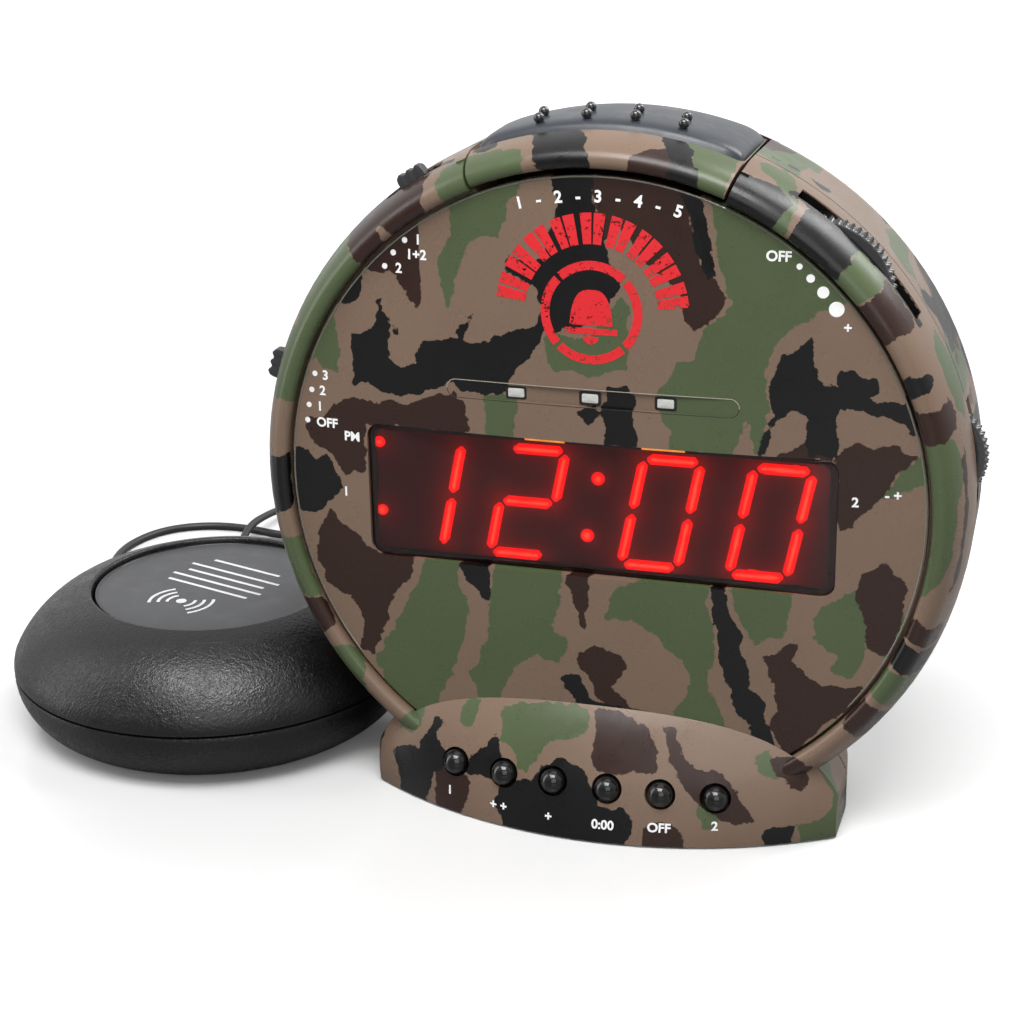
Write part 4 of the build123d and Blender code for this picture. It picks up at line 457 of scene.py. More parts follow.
def distance_inside(u, v, outline):
    """Distance in mm from points to a closed outline, positive inside, kept within the patch reach:
    the least distance to its sides, with its sign from how often a level line crosses them."""
    start = np.array(outline, float)
    side = np.roll(start, -1, 0) - start
    found = np.full(len(u), -patch_reach)
    low, high = start.min(0) - patch_reach, start.max(0) + patch_reach
    near = np.flatnonzero((u > low[0]) & (u < high[0]) & (v > low[1]) & (v < high[1]))
    if not len(near):
        return found
    p = np.stack([u[near], v[near]], -1)[:, None, :] - start
    share = np.clip((p * side).sum(-1) / (side ** 2).sum(-1), 0, 1)
    distance = np.linalg.norm(p - share[..., None] * side, axis=-1).min(1)
    above = p[..., 1] > 0
    above_next = p[..., 1] > side[:, 1]
    with np.errstate(divide="ignore", invalid="ignore"):
        crossing = (above != above_next) & (p[..., 0] < p[..., 1] * side[:, 0] / side[:, 1])
    inside = crossing.sum(1) % 2 == 1
    found[near] = np.clip(np.where(inside, distance, -distance), -patch_reach, patch_reach)
    return found


def drawn_coats(u, v, patches, stretch=1.0):
    """Signed distance to each coat of paint: the greatest over its outlines, less any hole in it."""
    coats = {}
    hole = np.full(len(u), -patch_reach)
    for outline in patches["tan"]:
        hole = np.maximum(hole, distance_inside(u, v, [(a * stretch, b) for a, b in outline]))
    for coat in COATS:
        coats[coat] = np.full(len(u), -patch_reach)
        for outline in patches[coat]:
            inside = distance_inside(u, v, [(a * stretch, b) for a, b in outline])
            coats[coat] = np.maximum(coats[coat], inside)
        if coat != "black":
            coats[coat] = np.minimum(coats[coat], -hole)
    return coats


def smooth_step(value, low, high):
    """0 below low, 1 above high and 3 t^2 - 2 t^3 between."""
    share = np.clip((value - low) / (high - low), 0, 1)
    return share * share * (3 - 2 * share)


def paint(piece, points, kind):
    """Keeps on a shell how far each vertex lies inside each coat, and how far the drawn pattern holds before
    the free one takes over towards the back. The walls inside the slots are given the black coat in full,
    which makes them dark."""
    x, depth, rise = points[:, 0], points[:, 1] - dial_y, points[:, 2] - dial_height
    if kind == "dial":
        coats = drawn_coats(x, rise, DIAL_PATCHES)
        drawn = np.ones(len(x))
    else:
        radius = np.hypot(x, rise)
        angle = (np.degrees(np.arctan2(rise, x)) + 90) % 360 - 90
        over = np.hypot(radius - crest_radius, depth - crest_depth) * 1.06
        over = np.where(radius < crest_radius, -np.abs(over), over)
        over = np.where(depth > shoulder_depth, depth + 2.8, over)
        coats = drawn_coats(angle * degree_width, over, RING_PATCHES, degree_width)
        drawn = 1 - smooth_step(depth, 13, 21)
        hood = (rise < -44) & (np.abs(x) < base_half_width + 1)
        hood_coats = drawn_coats(x, rise, HOOD_PATCHES)
        for coat in COATS:
            coats[coat] = np.where(hood, hood_coats[coat], coats[coat])
        drawn = np.where(hood, 1 - smooth_step(depth, 0, 7), drawn)
        # The walls inside the slots take the black coat in full
        below = (radius < body_radius - 0.5) & (radius > 66)
        for middle, reach, near, far in ((volume_angle, 14, 6, 11.6), (tone_angle, 10, 16, 22),
                                         (alarm_select_angle, 8, 6.5, 11), (mode_angle, 8, 6.5, 11)):
            inside = below & (np.abs(angle - middle) < reach) & (depth > near) & (depth < far)
            for coat, value in (("green", -9.0), ("brown", -9.0), ("black", 9.0)):
                coats[coat] = np.where(inside, value, coats[coat])
            drawn = np.where(inside, 1.0, drawn)
    for coat in COATS:
        attribute(piece.data, coat, coats[coat])
    attribute(piece.data, "drawn", drawn)


# Shader node groups and materials

def feed(tree, sockets, values):
    """Links an output, or gives a value, to each named or numbered socket."""
    for name, value in values.items():
        if isinstance(value, bpy.types.NodeSocket):
            tree.links.new(value, sockets[name])
        else:
            sockets[name].default_value = value


def node(tree, kind, inputs=None, **settings):
    """A node with its settings, and values or links for its inputs."""
    made = tree.nodes.new(kind)
    for name, value in settings.items():
        setattr(made, name, value)
    feed(tree, made.inputs, inputs or {})
    return made


def maths(tree, operation, *values, clamp=False):
    """Result of a Math node."""
    made = node(tree, "ShaderNodeMath", dict(enumerate(values)), operation=operation, use_clamp=clamp)
    return made.outputs[0]


def mixed(tree, share, a, b):
    """Colour between a and b."""
    return node(tree, "ShaderNodeMix", {0: share, 6: a, 7: b}, data_type="RGBA").outputs[2]


def object_place(tree):
    """Object coordinates, in which every pattern is laid."""
    return node(tree, "ShaderNodeTexCoord").outputs["Object"]


def vertex_value(tree, name):
    """A number that is kept on the vertices."""
    return node(tree, "ShaderNodeAttribute", attribute_name=name).outputs["Fac"]


def noise(tree, vector, scale, detail=2.0, roughness=0.5):
    """Value of a noise at a scale in features per metre."""
    made = node(tree, "ShaderNodeTexNoise", {"Vector": vector, "Scale": scale, "Detail": detail,
                                             "Roughness": roughness})
    return made.outputs[0]


def spread(tree, value, low, high):
    """0 at low and below, 1 at high and above."""
    return node(tree, "ShaderNodeMapRange", {"Value": value, "From Min": low, "From Max": high}).outputs[0]


def new_group(name, inputs, outputs):
    """An empty node group with named sockets, its group input and its group output."""
    tree = bpy.data.node_groups.new(name, "ShaderNodeTree")
    for label, kind, value in inputs:
        tree.interface.new_socket(name=label, in_out="INPUT", socket_type=kind).default_value = value
    for label, kind in outputs:
        tree.interface.new_socket(name=label, in_out="OUTPUT", socket_type=kind)
    return tree, tree.nodes.new("NodeGroupInput").outputs, tree.nodes.new("NodeGroupOutput")


FLOAT, COLOUR = "NodeSocketFloat", "NodeSocketColor"


def moulded_surface():
    """Moulded plastic: slow shifts of tone, a fine spark texture, and polished spots from handling."""
    tree, given, result = new_group("moulded surface", [
        ("Colour", COLOUR, (0.2, 0.2, 0.2, 1)), ("Tone Change", FLOAT, 0.06), ("Grain", FLOAT, 3000.0),
        ("Roughness", FLOAT, 0.4), ("Roughness Change", FLOAT, 0.1)],
        [("Colour", COLOUR), ("Roughness", FLOAT), ("Height", FLOAT)])
    place = object_place(tree)
    slow = noise(tree, place, 35.0, 3.0)
    grain = noise(tree, place, given["Grain"], 2.0, 0.6)
    worn = spread(tree, noise(tree, place, 160.0, 4.0, 0.65), 0.45, 0.75)
    tone = maths(tree, "MULTIPLY_ADD", maths(tree, "SUBTRACT", slow, 0.5), given["Tone Change"], 1.0)
    tone = maths(tree, "MULTIPLY_ADD", maths(tree, "SUBTRACT", grain, 0.5), given["Tone Change"], tone)
    coloured = node(tree, "ShaderNodeHueSaturation", {"Color": given["Colour"], "Value": tone})
    rough = maths(tree, "MULTIPLY_ADD", maths(tree, "SUBTRACT", slow, worn), given["Roughness Change"],
                  given["Roughness"])
    feed(tree, result.inputs, {"Colour": coloured.outputs[0], "Roughness": rough, "Height": grain})
    return tree


def fine_dust():
    """Sparse specks of dust and short hairline scuffs, as one mask."""
    tree, given, result = new_group("fine dust", [("Amount", FLOAT, 0.3), ("Size", FLOAT, 650.0)],
                                    [("Mask", FLOAT)])
    place = object_place(tree)
    cells = node(tree, "ShaderNodeTexVoronoi", {"Vector": place, "Scale": given["Size"]}).outputs["Distance"]
    specks = maths(tree, "SUBTRACT", 1.0, spread(tree, cells, 0.025, 0.055))
    patches = spread(tree, noise(tree, place, 60.0, 3.0), 0.5, 0.7)
    streak = node(tree, "ShaderNodeMapping", {"Vector": place, "Rotation": (0.3, 0.5, 0.7),
                                              "Scale": (60.0, 60.0, 4000.0)}).outputs[0]
    scuffs = spread(tree, noise(tree, streak, 1.0, 2.0), 0.72, 0.78)
    both = maths(tree, "ADD", maths(tree, "MULTIPLY", specks, patches), maths(tree, "MULTIPLY", scuffs, 0.35))
    tree.links.new(maths(tree, "MULTIPLY", both, given["Amount"], clamp=True), result.inputs["Mask"])
    return tree


def woodland_print():
    """Woodland camouflage: each coat where its distance, made ragged by noise, is above zero."""
    tree, given, result = new_group("woodland print", [
        ("Tan", COLOUR, (0.24, 0.155, 0.12, 1)), ("Green", COLOUR, (0.085, 0.12, 0.055, 1)),
        ("Brown", COLOUR, (0.048, 0.028, 0.024, 1)), ("Black", COLOUR, (0.016, 0.016, 0.017, 1))],
        [("Colour", COLOUR), ("Edge", FLOAT)])
    place = object_place(tree)
    drawn = vertex_value(tree, "drawn")
    ragged = maths(tree, "MULTIPLY_ADD", maths(tree, "SUBTRACT", noise(tree, place, 330.0, 3.0, 0.6), 0.5),
                   3.4, 0.0)
    colour = given["Tan"]
    edges = 0.0
    for coat, label, turn, size, level in (("green", "Green", 0.4, 36.0, 0.52),
                                           ("brown", "Brown", 2.1, 40.0, 0.545),
                                           ("black", "Black", 4.3, 44.0, 0.57)):
        outline = vertex_value(tree, coat)
        shifted = node(tree, "ShaderNodeMapping", {"Vector": place, "Location": (turn, turn / 2, turn / 3),
                                                   "Scale": (1.0, 1.0, 1.5)}).outputs[0]
        free = maths(tree, "MULTIPLY", maths(tree, "SUBTRACT", noise(tree, shifted, size, 2.0), level), 75.0)
        inside = node(tree, "ShaderNodeMix", {0: drawn, 2: free, 3: outline}).outputs[0]
        ragged_inside = maths(tree, "ADD", inside, ragged)
        mask = spread(tree, ragged_inside, -0.08, 0.08)
        rim = maths(tree, "SUBTRACT", 1.0, spread(tree, maths(tree, "ABSOLUTE", ragged_inside), 0.0, 0.25))
        edges = maths(tree, "MAXIMUM", edges, rim)
        colour = mixed(tree, mask, colour, given[label])
    feed(tree, result.inputs, {"Colour": colour, "Edge": edges})
    return tree


def leather_grain():
    """Pebbled leather: soft cells parted by creases, with smaller pebbles between them."""
    tree, given, result = new_group("leather grain", [("Size", FLOAT, 900.0)],
                                    [("Height", FLOAT), ("Crease", FLOAT)])
    place = object_place(tree)
    bent = maths(tree, "MULTIPLY", noise(tree, place, 500.0, 2.0), 0.002)
    moved = node(tree, "ShaderNodeVectorMath", {0: place, 1: bent}, operation="ADD").outputs[0]
    large = node(tree, "ShaderNodeTexVoronoi", {"Vector": moved, "Scale": given["Size"]},
                 feature="SMOOTH_F1").outputs["Distance"]
    small_size = maths(tree, "MULTIPLY", given["Size"], 2.3)
    small = node(tree, "ShaderNodeTexVoronoi", {"Vector": moved, "Scale": small_size},
                 feature="SMOOTH_F1").outputs["Distance"]
    depth = maths(tree, "MULTIPLY_ADD", small, 0.4, large)
    feed(tree, result.inputs, {"Height": maths(tree, "SUBTRACT", 1.0, depth),
                               "Crease": spread(tree, depth, 0.5, 0.95)})
    return tree


def drawn_metal():
    """Fine lines along one direction, as left by a die or a brush."""
    tree, given, result = new_group("drawn metal", [("Lines", FLOAT, 4000.0)],
                                    [("Tone", FLOAT), ("Height", FLOAT)])
    place = object_place(tree)
    long_way = node(tree, "ShaderNodeMapping", {"Vector": place, "Scale": (0.05, 1.0, 1.0)}).outputs[0]
    lines = noise(tree, long_way, given["Lines"], 2.0)
    feed(tree, result.inputs, {"Tone": maths(tree, "MULTIPLY_ADD", lines, 0.3, 0.85), "Height": lines})
    return tree


def worn_ink():
    """Cover of a printed mark: whole but for small chips and thin rubbed patches."""
    tree, given, result = new_group("worn ink", [("Loss", FLOAT, 0.3)], [("Cover", FLOAT)])
    place = object_place(tree)
    chips = noise(tree, place, 900.0, 4.0, 0.7)
    level = maths(tree, "MULTIPLY_ADD", given["Loss"], 0.3, 0.2)
    tree.links.new(spread(tree, maths(tree, "SUBTRACT", chips, level), 0.0, 0.05), result.inputs["Cover"])
    return tree


def group_node(tree, maker, inputs):
    """A group in a material, made the first time that it is asked for."""
    name = maker.__name__.replace("_", " ")
    shared = bpy.data.node_groups.get(name) or maker()
    return node(tree, "ShaderNodeGroup", inputs, node_tree=shared).outputs


def blank_material(name):
    """A material with its tree and its shader, already linked to its output."""
    made = bpy.data.materials.new(name)
    made.use_nodes = True
    tree = made.node_tree
    tree.nodes.clear()
    shader = tree.nodes.new("ShaderNodeBsdfPrincipled")
    node(tree, "ShaderNodeOutputMaterial", {0: shader.outputs[0]})
    return made, tree, shader


def plain_surface(tree, shader, surface):
    """A surface group's colour and roughness, straight into the shader."""
    feed(tree, shader.inputs, {"Base Color": surface["Colour"], "Roughness": surface["Roughness"]})


def bumped(tree, shader, height, strength, distance):
    """Fine relief from a height that stands for a distance in metres."""
    bump = node(tree, "ShaderNodeBump", {"Height": height, "Strength": strength, "Distance": distance})
    tree.links.new(bump.outputs[0], shader.inputs["Normal"])


def opaque(colour):
    """A colour with full alpha."""
    return tuple(colour[:3]) + (1.0,)


def moulded(name, colour, roughness=0.4, change=0.08, grain=3000.0, depth=0.00002, dust=0.15,
            specular=0.5, coat=0.0):
    """Moulded or painted finish: one colour with its own tone, grain, polish and dust."""
    made = bpy.data.materials.get(name)
    if made:
        return made
    made, tree, shader = blank_material(name)
    surface = group_node(tree, moulded_surface, {"Colour": opaque(colour), "Tone Change": change,
                                                 "Grain": grain, "Roughness": roughness})
    mask = group_node(tree, fine_dust, {"Amount": dust})["Mask"]
    pale = tuple(0.55 * value + 0.25 for value in colour[:3]) + (1.0,)
    feed(tree, shader.inputs, {
        "Base Color": mixed(tree, mask, surface["Colour"], pale),
        "Roughness": maths(tree, "MULTIPLY_ADD", mask, 0.3, surface["Roughness"]),
        "Specular IOR Level": specular, "Coat Weight": coat, "Coat Roughness": 0.08})
    bumped(tree, shader, surface["Height"], 0.5, depth)
    return made


def colours():
    """The colours that a user may change."""
    return bpy.context.scene.clock_colours


def sizes():
    """The sizes and lamp powers that a user may change."""
    return bpy.context.scene.clock_sizes


def camouflage():
    """Dipped woodland print under a satin clear coat."""
    made, tree, shader = blank_material("Woodland camouflage shell")
    c = colours()
    pattern = group_node(tree, woodland_print, {"Tan": opaque(c.tan), "Green": opaque(c.green),
                                                "Brown": opaque(c.brown), "Black": opaque(c.black)})
    surface = group_node(tree, moulded_surface, {"Colour": pattern["Colour"], "Tone Change": 0.22,
                                                 "Grain": 2200.0, "Roughness": 0.27,
                                                 "Roughness Change": 0.12})
    mask = group_node(tree, fine_dust, {"Amount": 0.04})["Mask"]
    feed(tree, shader.inputs, {
        "Base Color": mixed(tree, mask, surface["Colour"], (0.4, 0.37, 0.33, 1)),
        "Roughness": maths(tree, "MULTIPLY_ADD", pattern["Edge"], 0.06, surface["Roughness"]),
        "Specular IOR Level": 0.4})
    height = maths(tree, "MULTIPLY_ADD", pattern["Edge"], 0.3, surface["Height"])
    bumped(tree, shader, height, 0.45, 0.00003)
    return made


def smoked_red():
    """Deep red clear plastic with faint wipe marks."""
    made, tree, shader = blank_material("Smoked red window")
    mask = group_node(tree, fine_dust, {"Amount": 0.12})["Mask"]
    place = object_place(tree)
    wiped = maths(tree, "MULTIPLY_ADD", noise(tree, place, 90.0, 3.0), 0.04, 0.02)
    feed(tree, shader.inputs, {
        "Base Color": opaque(colours().window_tint), "Transmission Weight": 1.0, "IOR": 1.49,
        "Specular IOR Level": 0.12, "Roughness": maths(tree, "MULTIPLY_ADD", mask, 0.25, wiped)})
    return made


def display_face():
    """Dark red face of the LED module, with a painted glow: it emits its own colour, standing for the lit
    bars' light that tints it.
    """
    made, tree, shader = blank_material("LED module face with painted glow")
    surface = group_node(tree, moulded_surface, {"Colour": opaque(colours().display_back),
                                                 "Tone Change": 0.15, "Roughness": 0.6})
    plain_surface(tree, shader, surface)
    # Painted glow: the module's face emits its own colour
    feed(tree, shader.inputs, {"Emission Color": surface["Colour"],
                               "Emission Strength": sizes().window_glow})
    return made


def red_haze():
    """Dark red face with a painted glow: emission that stands for the bars' scattered light, brighter close
    to them.
    """
    made, tree, shader = blank_material("LED painted glow")
    glow = vertex_value(tree, "glow")
    surface = group_node(tree, moulded_surface, {"Colour": opaque(colours().display_back),
                                                 "Tone Change": 0.25, "Roughness": 0.6})
    # Painted glow: near the bars the face's colour turns bright red, and all of it is emitted
    lit = mixed(tree, spread(tree, glow, 0.0, 1.4), surface["Colour"], (0.75, 0.03, 0.02, 1))
    plain_surface(tree, shader, surface)
    feed(tree, shader.inputs, {"Emission Color": lit, "Emission Strength": sizes().window_glow})
    return made


def edge_glint():
    """Painted glint: orange emission standing for the bars' light that leaves by the window's edge."""
    made, tree, shader = blank_material("Window edge glint")
    uneven = noise(tree, object_place(tree), 700.0, 2.0)
    light = mixed(tree, uneven, (0.55, 0.09, 0.01, 1), (1.0, 0.42, 0.06, 1))
    feed(tree, shader.inputs, {"Base Color": (0.2, 0.05, 0.01, 1), "Emission Color": light,
                               "Emission Strength": 1.0})
    return made


def lit_led():
    """Lit bars: deep red at their rims and orange along their middles."""
    made, tree, shader = blank_material("Lit LED bars")
    c = colours()
    across = vertex_value(tree, "across")
    uneven = maths(tree, "MULTIPLY_ADD", noise(tree, object_place(tree), 260.0, 2.0), 0.5, -0.25)
    hot = spread(tree, maths(tree, "ADD", across, uneven), 0.5, 1.15)
    light = mixed(tree, hot, opaque(c.lit_rim), opaque(c.lit_core))
    feed(tree, shader.inputs, {"Base Color": (0.3, 0.01, 0.01, 1), "Emission Color": light,
                               "Emission Strength": sizes().led_strength})
    return made


def lamp_white():
    """Milky clear lamp cap."""
    made, tree, shader = blank_material("Clear lamp cap")
    surface = group_node(tree, moulded_surface, {"Colour": (0.5, 0.5, 0.48, 1), "Tone Change": 0.4,
                                                 "Grain": 1800.0, "Roughness": 0.2})
    plain_surface(tree, shader, surface)
    shader.inputs["Coat Weight"].default_value = 0.6
    return made


def leather_black():
    """Black plastic moulded with a fine leather grain, and painted shade that darkens the grain's creases."""
    made, tree, shader = blank_material("Shaker leather grain")
    grain = group_node(tree, leather_grain, {"Size": 1.0 / sizes().leather_size})
    surface = group_node(tree, moulded_surface, {"Colour": opaque(colours().shaker), "Tone Change": 0.3,
                                                 "Grain": 2500.0, "Roughness": 0.26,
                                                 "Roughness Change": 0.15})
    mask = group_node(tree, fine_dust, {"Amount": 0.25})["Mask"]
    # Painted shade: the grain's creases are darkened
    crease = maths(tree, "MULTIPLY", grain["Crease"], 0.4)
    dark = mixed(tree, crease, surface["Colour"], (0.004, 0.004, 0.004, 1))
    feed(tree, shader.inputs, {
        "Base Color": mixed(tree, mask, dark, (0.3, 0.3, 0.3, 1)),
        "Roughness": maths(tree, "MULTIPLY_ADD", grain["Crease"], 0.2, surface["Roughness"]),
        "Specular IOR Level": 0.42})
    bumped(tree, shader, grain["Height"], 0.8, 0.00012)
    return made


def metal(name, colour, roughness=0.3):
    """Drawn or machined metal with fine lines."""
    made = bpy.data.materials.get(name)
    if made:
        return made
    made, tree, shader = blank_material(name)
    lines = group_node(tree, drawn_metal, {"Lines": 4000.0})
    coloured = node(tree, "ShaderNodeHueSaturation", {"Color": opaque(colour), "Value": lines["Tone"]})
    feed(tree, shader.inputs, {
        "Base Color": coloured.outputs[0], "Metallic": 1.0,
        "Roughness": maths(tree, "MULTIPLY_ADD", lines["Height"], 0.15, roughness)})
    bumped(tree, shader, lines["Height"], 0.3, 0.00001)
    return made


def circuit_board():
    """Green solder mask over copper traces, with tinned pads."""
    made, tree, shader = blank_material("Circuit board")
    place = object_place(tree)
    upright = node(tree, "ShaderNodeMapping", {"Vector": place,
                                               "Rotation": (math.pi / 2, 0.0, 0.0)}).outputs[0]
    traces = node(tree, "ShaderNodeTexBrick", {"Vector": upright, "Scale": 160.0, "Mortar Size": 0.08,
                                               "Color1": (0.012, 0.09, 0.03, 1),
                                               "Color2": (0.016, 0.11, 0.04, 1),
                                               "Mortar": (0.05, 0.2, 0.06, 1)}).outputs["Color"]
    pads = node(tree, "ShaderNodeTexVoronoi", {"Vector": upright, "Scale": 280.0}).outputs["Distance"]
    pad = maths(tree, "SUBTRACT", 1.0, spread(tree, pads, 0.16, 0.2))
    feed(tree, shader.inputs, {"Base Color": mixed(tree, pad, traces, (0.6, 0.58, 0.5, 1)),
                               "Metallic": maths(tree, "MULTIPLY", pad, 0.8),
                               "Roughness": maths(tree, "MULTIPLY_ADD", pad, -0.1, 0.38)})
    bumped(tree, shader, pad, 0.4, 0.00004)
    return made


def ink(name, colour, loss):
    """Printed mark with small chips in it."""
    made = bpy.data.materials.get(name)
    if made:
        return made
    made, tree, shader = blank_material(name)
    surface = group_node(tree, moulded_surface, {"Colour": opaque(colour), "Tone Change": 0.15,
                                                 "Roughness": 0.42})
    cover = group_node(tree, worn_ink, {"Loss": loss})["Cover"]
    plain_surface(tree, shader, surface)
    tree.links.new(cover, shader.inputs["Alpha"])
    return made


# Cord

def polar(radius, angle):
    """Point (radius cos a, radius sin a)."""
    a = np.radians(angle)
    return radius * np.cos(a), radius * np.sin(a)


grommet_turn = 137.0
leave_way = np.array([*polar(1.0, grommet_turn), 0.0])
shaker_axis_point = np.array([*shaker_centre, 9.0])
cord_exit = shaker_axis_point + leave_way * 57.5
shaker_route = [(-160.6, 62.6, 4.2), (-167.8, 72.6, 1.15), (-174.2, 85.5, 1.15), (-176.6, 99.5, 1.15),
                (-172.0, 113.5, 1.15), (-161.5, 121.0, 1.15), (-148.0, 122.4, 1.15),
                (-134.5, 118.6, 1.15), (-121.0, 121.5, 1.15), (-113.5, 133.5, 1.15),
                (-119.0, 146.5, 1.15), (-132.0, 148.5, 1.15), (-140.5, 138.5, 2.6),
                (-141.4, 126.5, 5.0), (-143.6, 114.5, 5.0), (-141.5, 102.5, 2.2),
                (-131.5, 93.5, 1.15), (-115.5, 88.5, 1.15), (-95.5, 86.5, 1.15),
                (-72.0, 83.5, 1.15), (-46.0, 76.0, 1.15), (-23.0, 72.7, 1.15)]
plug_route = [(-28.0, 106.8, 7.4), (-36.0, 97.2, 3.6), (-37.0, 85.5, 5.4),
              (-31.5, 76.5, 13.4), (-25.0, 69.6, 22.4)]
plug_place = np.array([-22.0, 29.5, 27.7])
plug_exit = plug_place + (0, 23.0, 0)
coil_centre = (-2.0, 92.0)
coil_middle_radius = 13.2
coil_pitch = 3.05
coil_turns = 4
coil_layers = 4
coil_lead = 2.2
cord_floor = 1.15
points_in_turn = 16


def coil_points():
    """Turns in flat layers, wound inwards and outwards by turns: the radius changes evenly over a
    layer's four turns, and the next half turn climbs one cord's pitch."""
    layer_turns, cycle = coil_turns, coil_turns + 0.5
    total = coil_layers * layer_turns + 0.5 * (coil_layers - 1)
    turn = np.arange(int(total * points_in_turn) + 1) / points_in_turn
    layer = np.floor(turn / cycle)
    rest = turn - layer * cycle
    in_layer = np.minimum(rest, layer_turns) / layer_turns
    half = coil_turns * coil_pitch / 2
    way = np.where(layer % 2 == 0, 1.0, -1.0)
    radius = coil_middle_radius + way * half * (1 - 2 * in_layer)
    climb = np.maximum(rest - layer_turns, 0) * 2
    x, y = polar(radius, -90 + turn * 360)
    height = cord_floor + coil_pitch * (layer + climb)
    return np.stack([coil_centre[0] + x, coil_centre[1] + y, height], -1)


def cord_points():
    """Whole route in mm: out of the strain relief, over the surface, round the coil and to the plug."""
    coil = coil_points()
    entry = coil[0] + (-coil_lead, 0, 0)
    angle = math.radians(-90 + 360 * (coil_layers * coil_turns + 0.5 * (coil_layers - 1)))
    last_way = np.array([-math.sin(angle), math.cos(angle), 0.0])
    leave = coil[-1] + last_way * coil_lead
    first_leave = leave + last_way * 11.5
    last = plug_exit + (0, 8.0, 0)
    return np.concatenate([[cord_exit, cord_exit + leave_way * 8.5], shaker_route, [entry], coil,
                           [leave, first_leave], plug_route, [last, plug_exit]])


def make_cord():
    """One smooth spline with a round section."""
    s = sizes()
    points = cord_points() * MM
    curve = bpy.data.curves.new("shaker_cord", "CURVE")
    curve.dimensions = "3D"
    spline = curve.splines.new("NURBS")
    spline.points.add(len(points) - 1)
    spline.points.foreach_set("co", np.column_stack([points, np.ones(len(points))]).ravel())
    spline.order_u = 3
    spline.use_endpoint_u = True
    spline.resolution_u = 6
    curve.bevel_depth = s.cord_diameter / 2
    curve.bevel_resolution = 3
    curve.use_fill_caps = True
    piece = placed("shaker_cord", curve)
    finished(piece, CLOCK, moulded("Cord jacket", colours().cord, 0.42, 0.1, 2600.0),
             ("cord_to_coil", "cord_coil", "cord_to_plug"))
    return piece


def placed_along(points, origin, way):
    """Points turned about their z axis, stood along a direction from an origin."""
    way = np.asarray(way, float)
    helper = np.array([0.0, 0.0, 1.0]) if abs(way[2]) < 0.9 else np.array([1.0, 0.0, 0.0])
    across = np.cross(helper, way)
    across /= np.linalg.norm(across)
    up = np.cross(way, across)
    return points[..., :1] * across + points[..., 1:2] * up + points[..., 2:] * way + origin


def relief_profile(root, tip, length, ribs):
    """(radius, height) of a tapered relief: the taper, less a shallow cosine groove for each rib."""
    t = np.linspace(0, 1, ribs * 8 + 1)
    radius = root + (tip - root) * t - 0.16 * (1 - np.cos(2 * np.pi * ribs * t))
    return np.concatenate([[(0, 0)], np.stack([radius, t * length], -1), [(0, length)]])


def make_cord_fittings():
    """Strain relief on the shaker, plug at the clock and the tie round the coil."""
    material = moulded("Cord fitting rubber", colours().cord, 0.5, 0.12, 2200.0)
    relief = placed_along(turned(relief_profile(3.0, 2.0, 13.0, 5), 32), shaker_axis_point
                          + leave_way * 44.5, leave_way)
    strain = new_piece("strain_relief", [grid(relief, True)], CLOCK, material,
                       ("cord_grommet",))
    t = np.linspace(0, 1, 25)
    body = np.stack([3.6 - 0.25 * (1 - np.cos(2 * np.pi * 3 * t)), 14.0 * t], -1)
    tip = relief_profile(3.1, 1.8, 9.0, 4)[1:]
    profile = np.concatenate([[(0, 0), (3.2, 0)], body + (0, 0.02), tip + (0, 14.02)])
    handle = placed_along(turned(profile, 36), plug_place, (0, 1, 0))
    pin = np.array([(0, -9.0), (1.1, -8.9), (1.5, -8.2), (1.5, -0.0), (0, 0.0)])
    pin_points = placed_along(turned(pin, 28), plug_place, (0, 1, 0))
    plug = new_piece("plug_moulding", [grid(handle, True), grid(pin_points, True)], CLOCK,
                     material, ("cord_plug",))
    wide, tall = coil_turns * coil_pitch / 2 + 1.45, (coil_layers - 1) * coil_pitch / 2 + 1.4
    around = np.radians(np.linspace(0, 360, 64, endpoint=False))
    shape = (np.abs(np.cos(around)) ** 4 + np.abs(np.sin(around)) ** 4) ** -0.25
    section = np.array([(0.0, -2.0), (0.9, -1.9), (0.9, 1.9), (0.0, 2.0)])
    out = shape[:, None] + 0 * section[None, :, 0]
    x = coil_centre[0] + coil_middle_radius + np.cos(around)[:, None] * (out * wide + section[:, 0])
    z = cord_floor + (coil_layers - 1) * coil_pitch / 2 + 0.3 \
        + np.sin(around)[:, None] * (out * tall + section[:, 0])
    y = coil_centre[1] + section[None, :, 1] + 0 * x
    band = np.stack([x, y, np.maximum(z, 0.05)], -1)
    tie = new_piece("coil_tie_band", [grid(band, True, True)], CLOCK, material, ("coil_tie",))
    return [strain, plug, tie]


# Clock shells

def dial_rim():
    """A fine bead along the dial's edge above the hood, pale and glossy, partly painted highlight: its light
    colour stands for the highlight along the groove. It is a circle of radius r swept round the dial, where r
    = 0.22 sqrt(1 - e^2) and e runs from 0 to 1 over the last part to each end."""
    share = np.linspace(-1, 1, 361)[:, None]
    turn = np.pi / 2 + share * np.radians(128)
    a = np.linspace(0, 2 * np.pi, 10, endpoint=False)[None, :]
    thick = 0.22 * np.sqrt(1 - np.clip((np.abs(share) - 0.98) / 0.02, 0, 1) ** 2)
    bead_radius = panel_radius - 0.35
    reach = bead_radius + thick * np.cos(a)
    depth = dome_depth(bead_radius, 0.0) + 0.02 + thick * np.sin(a)
    return grid(on_clock(reach * np.cos(turn), depth, reach * np.sin(turn)), False, True)


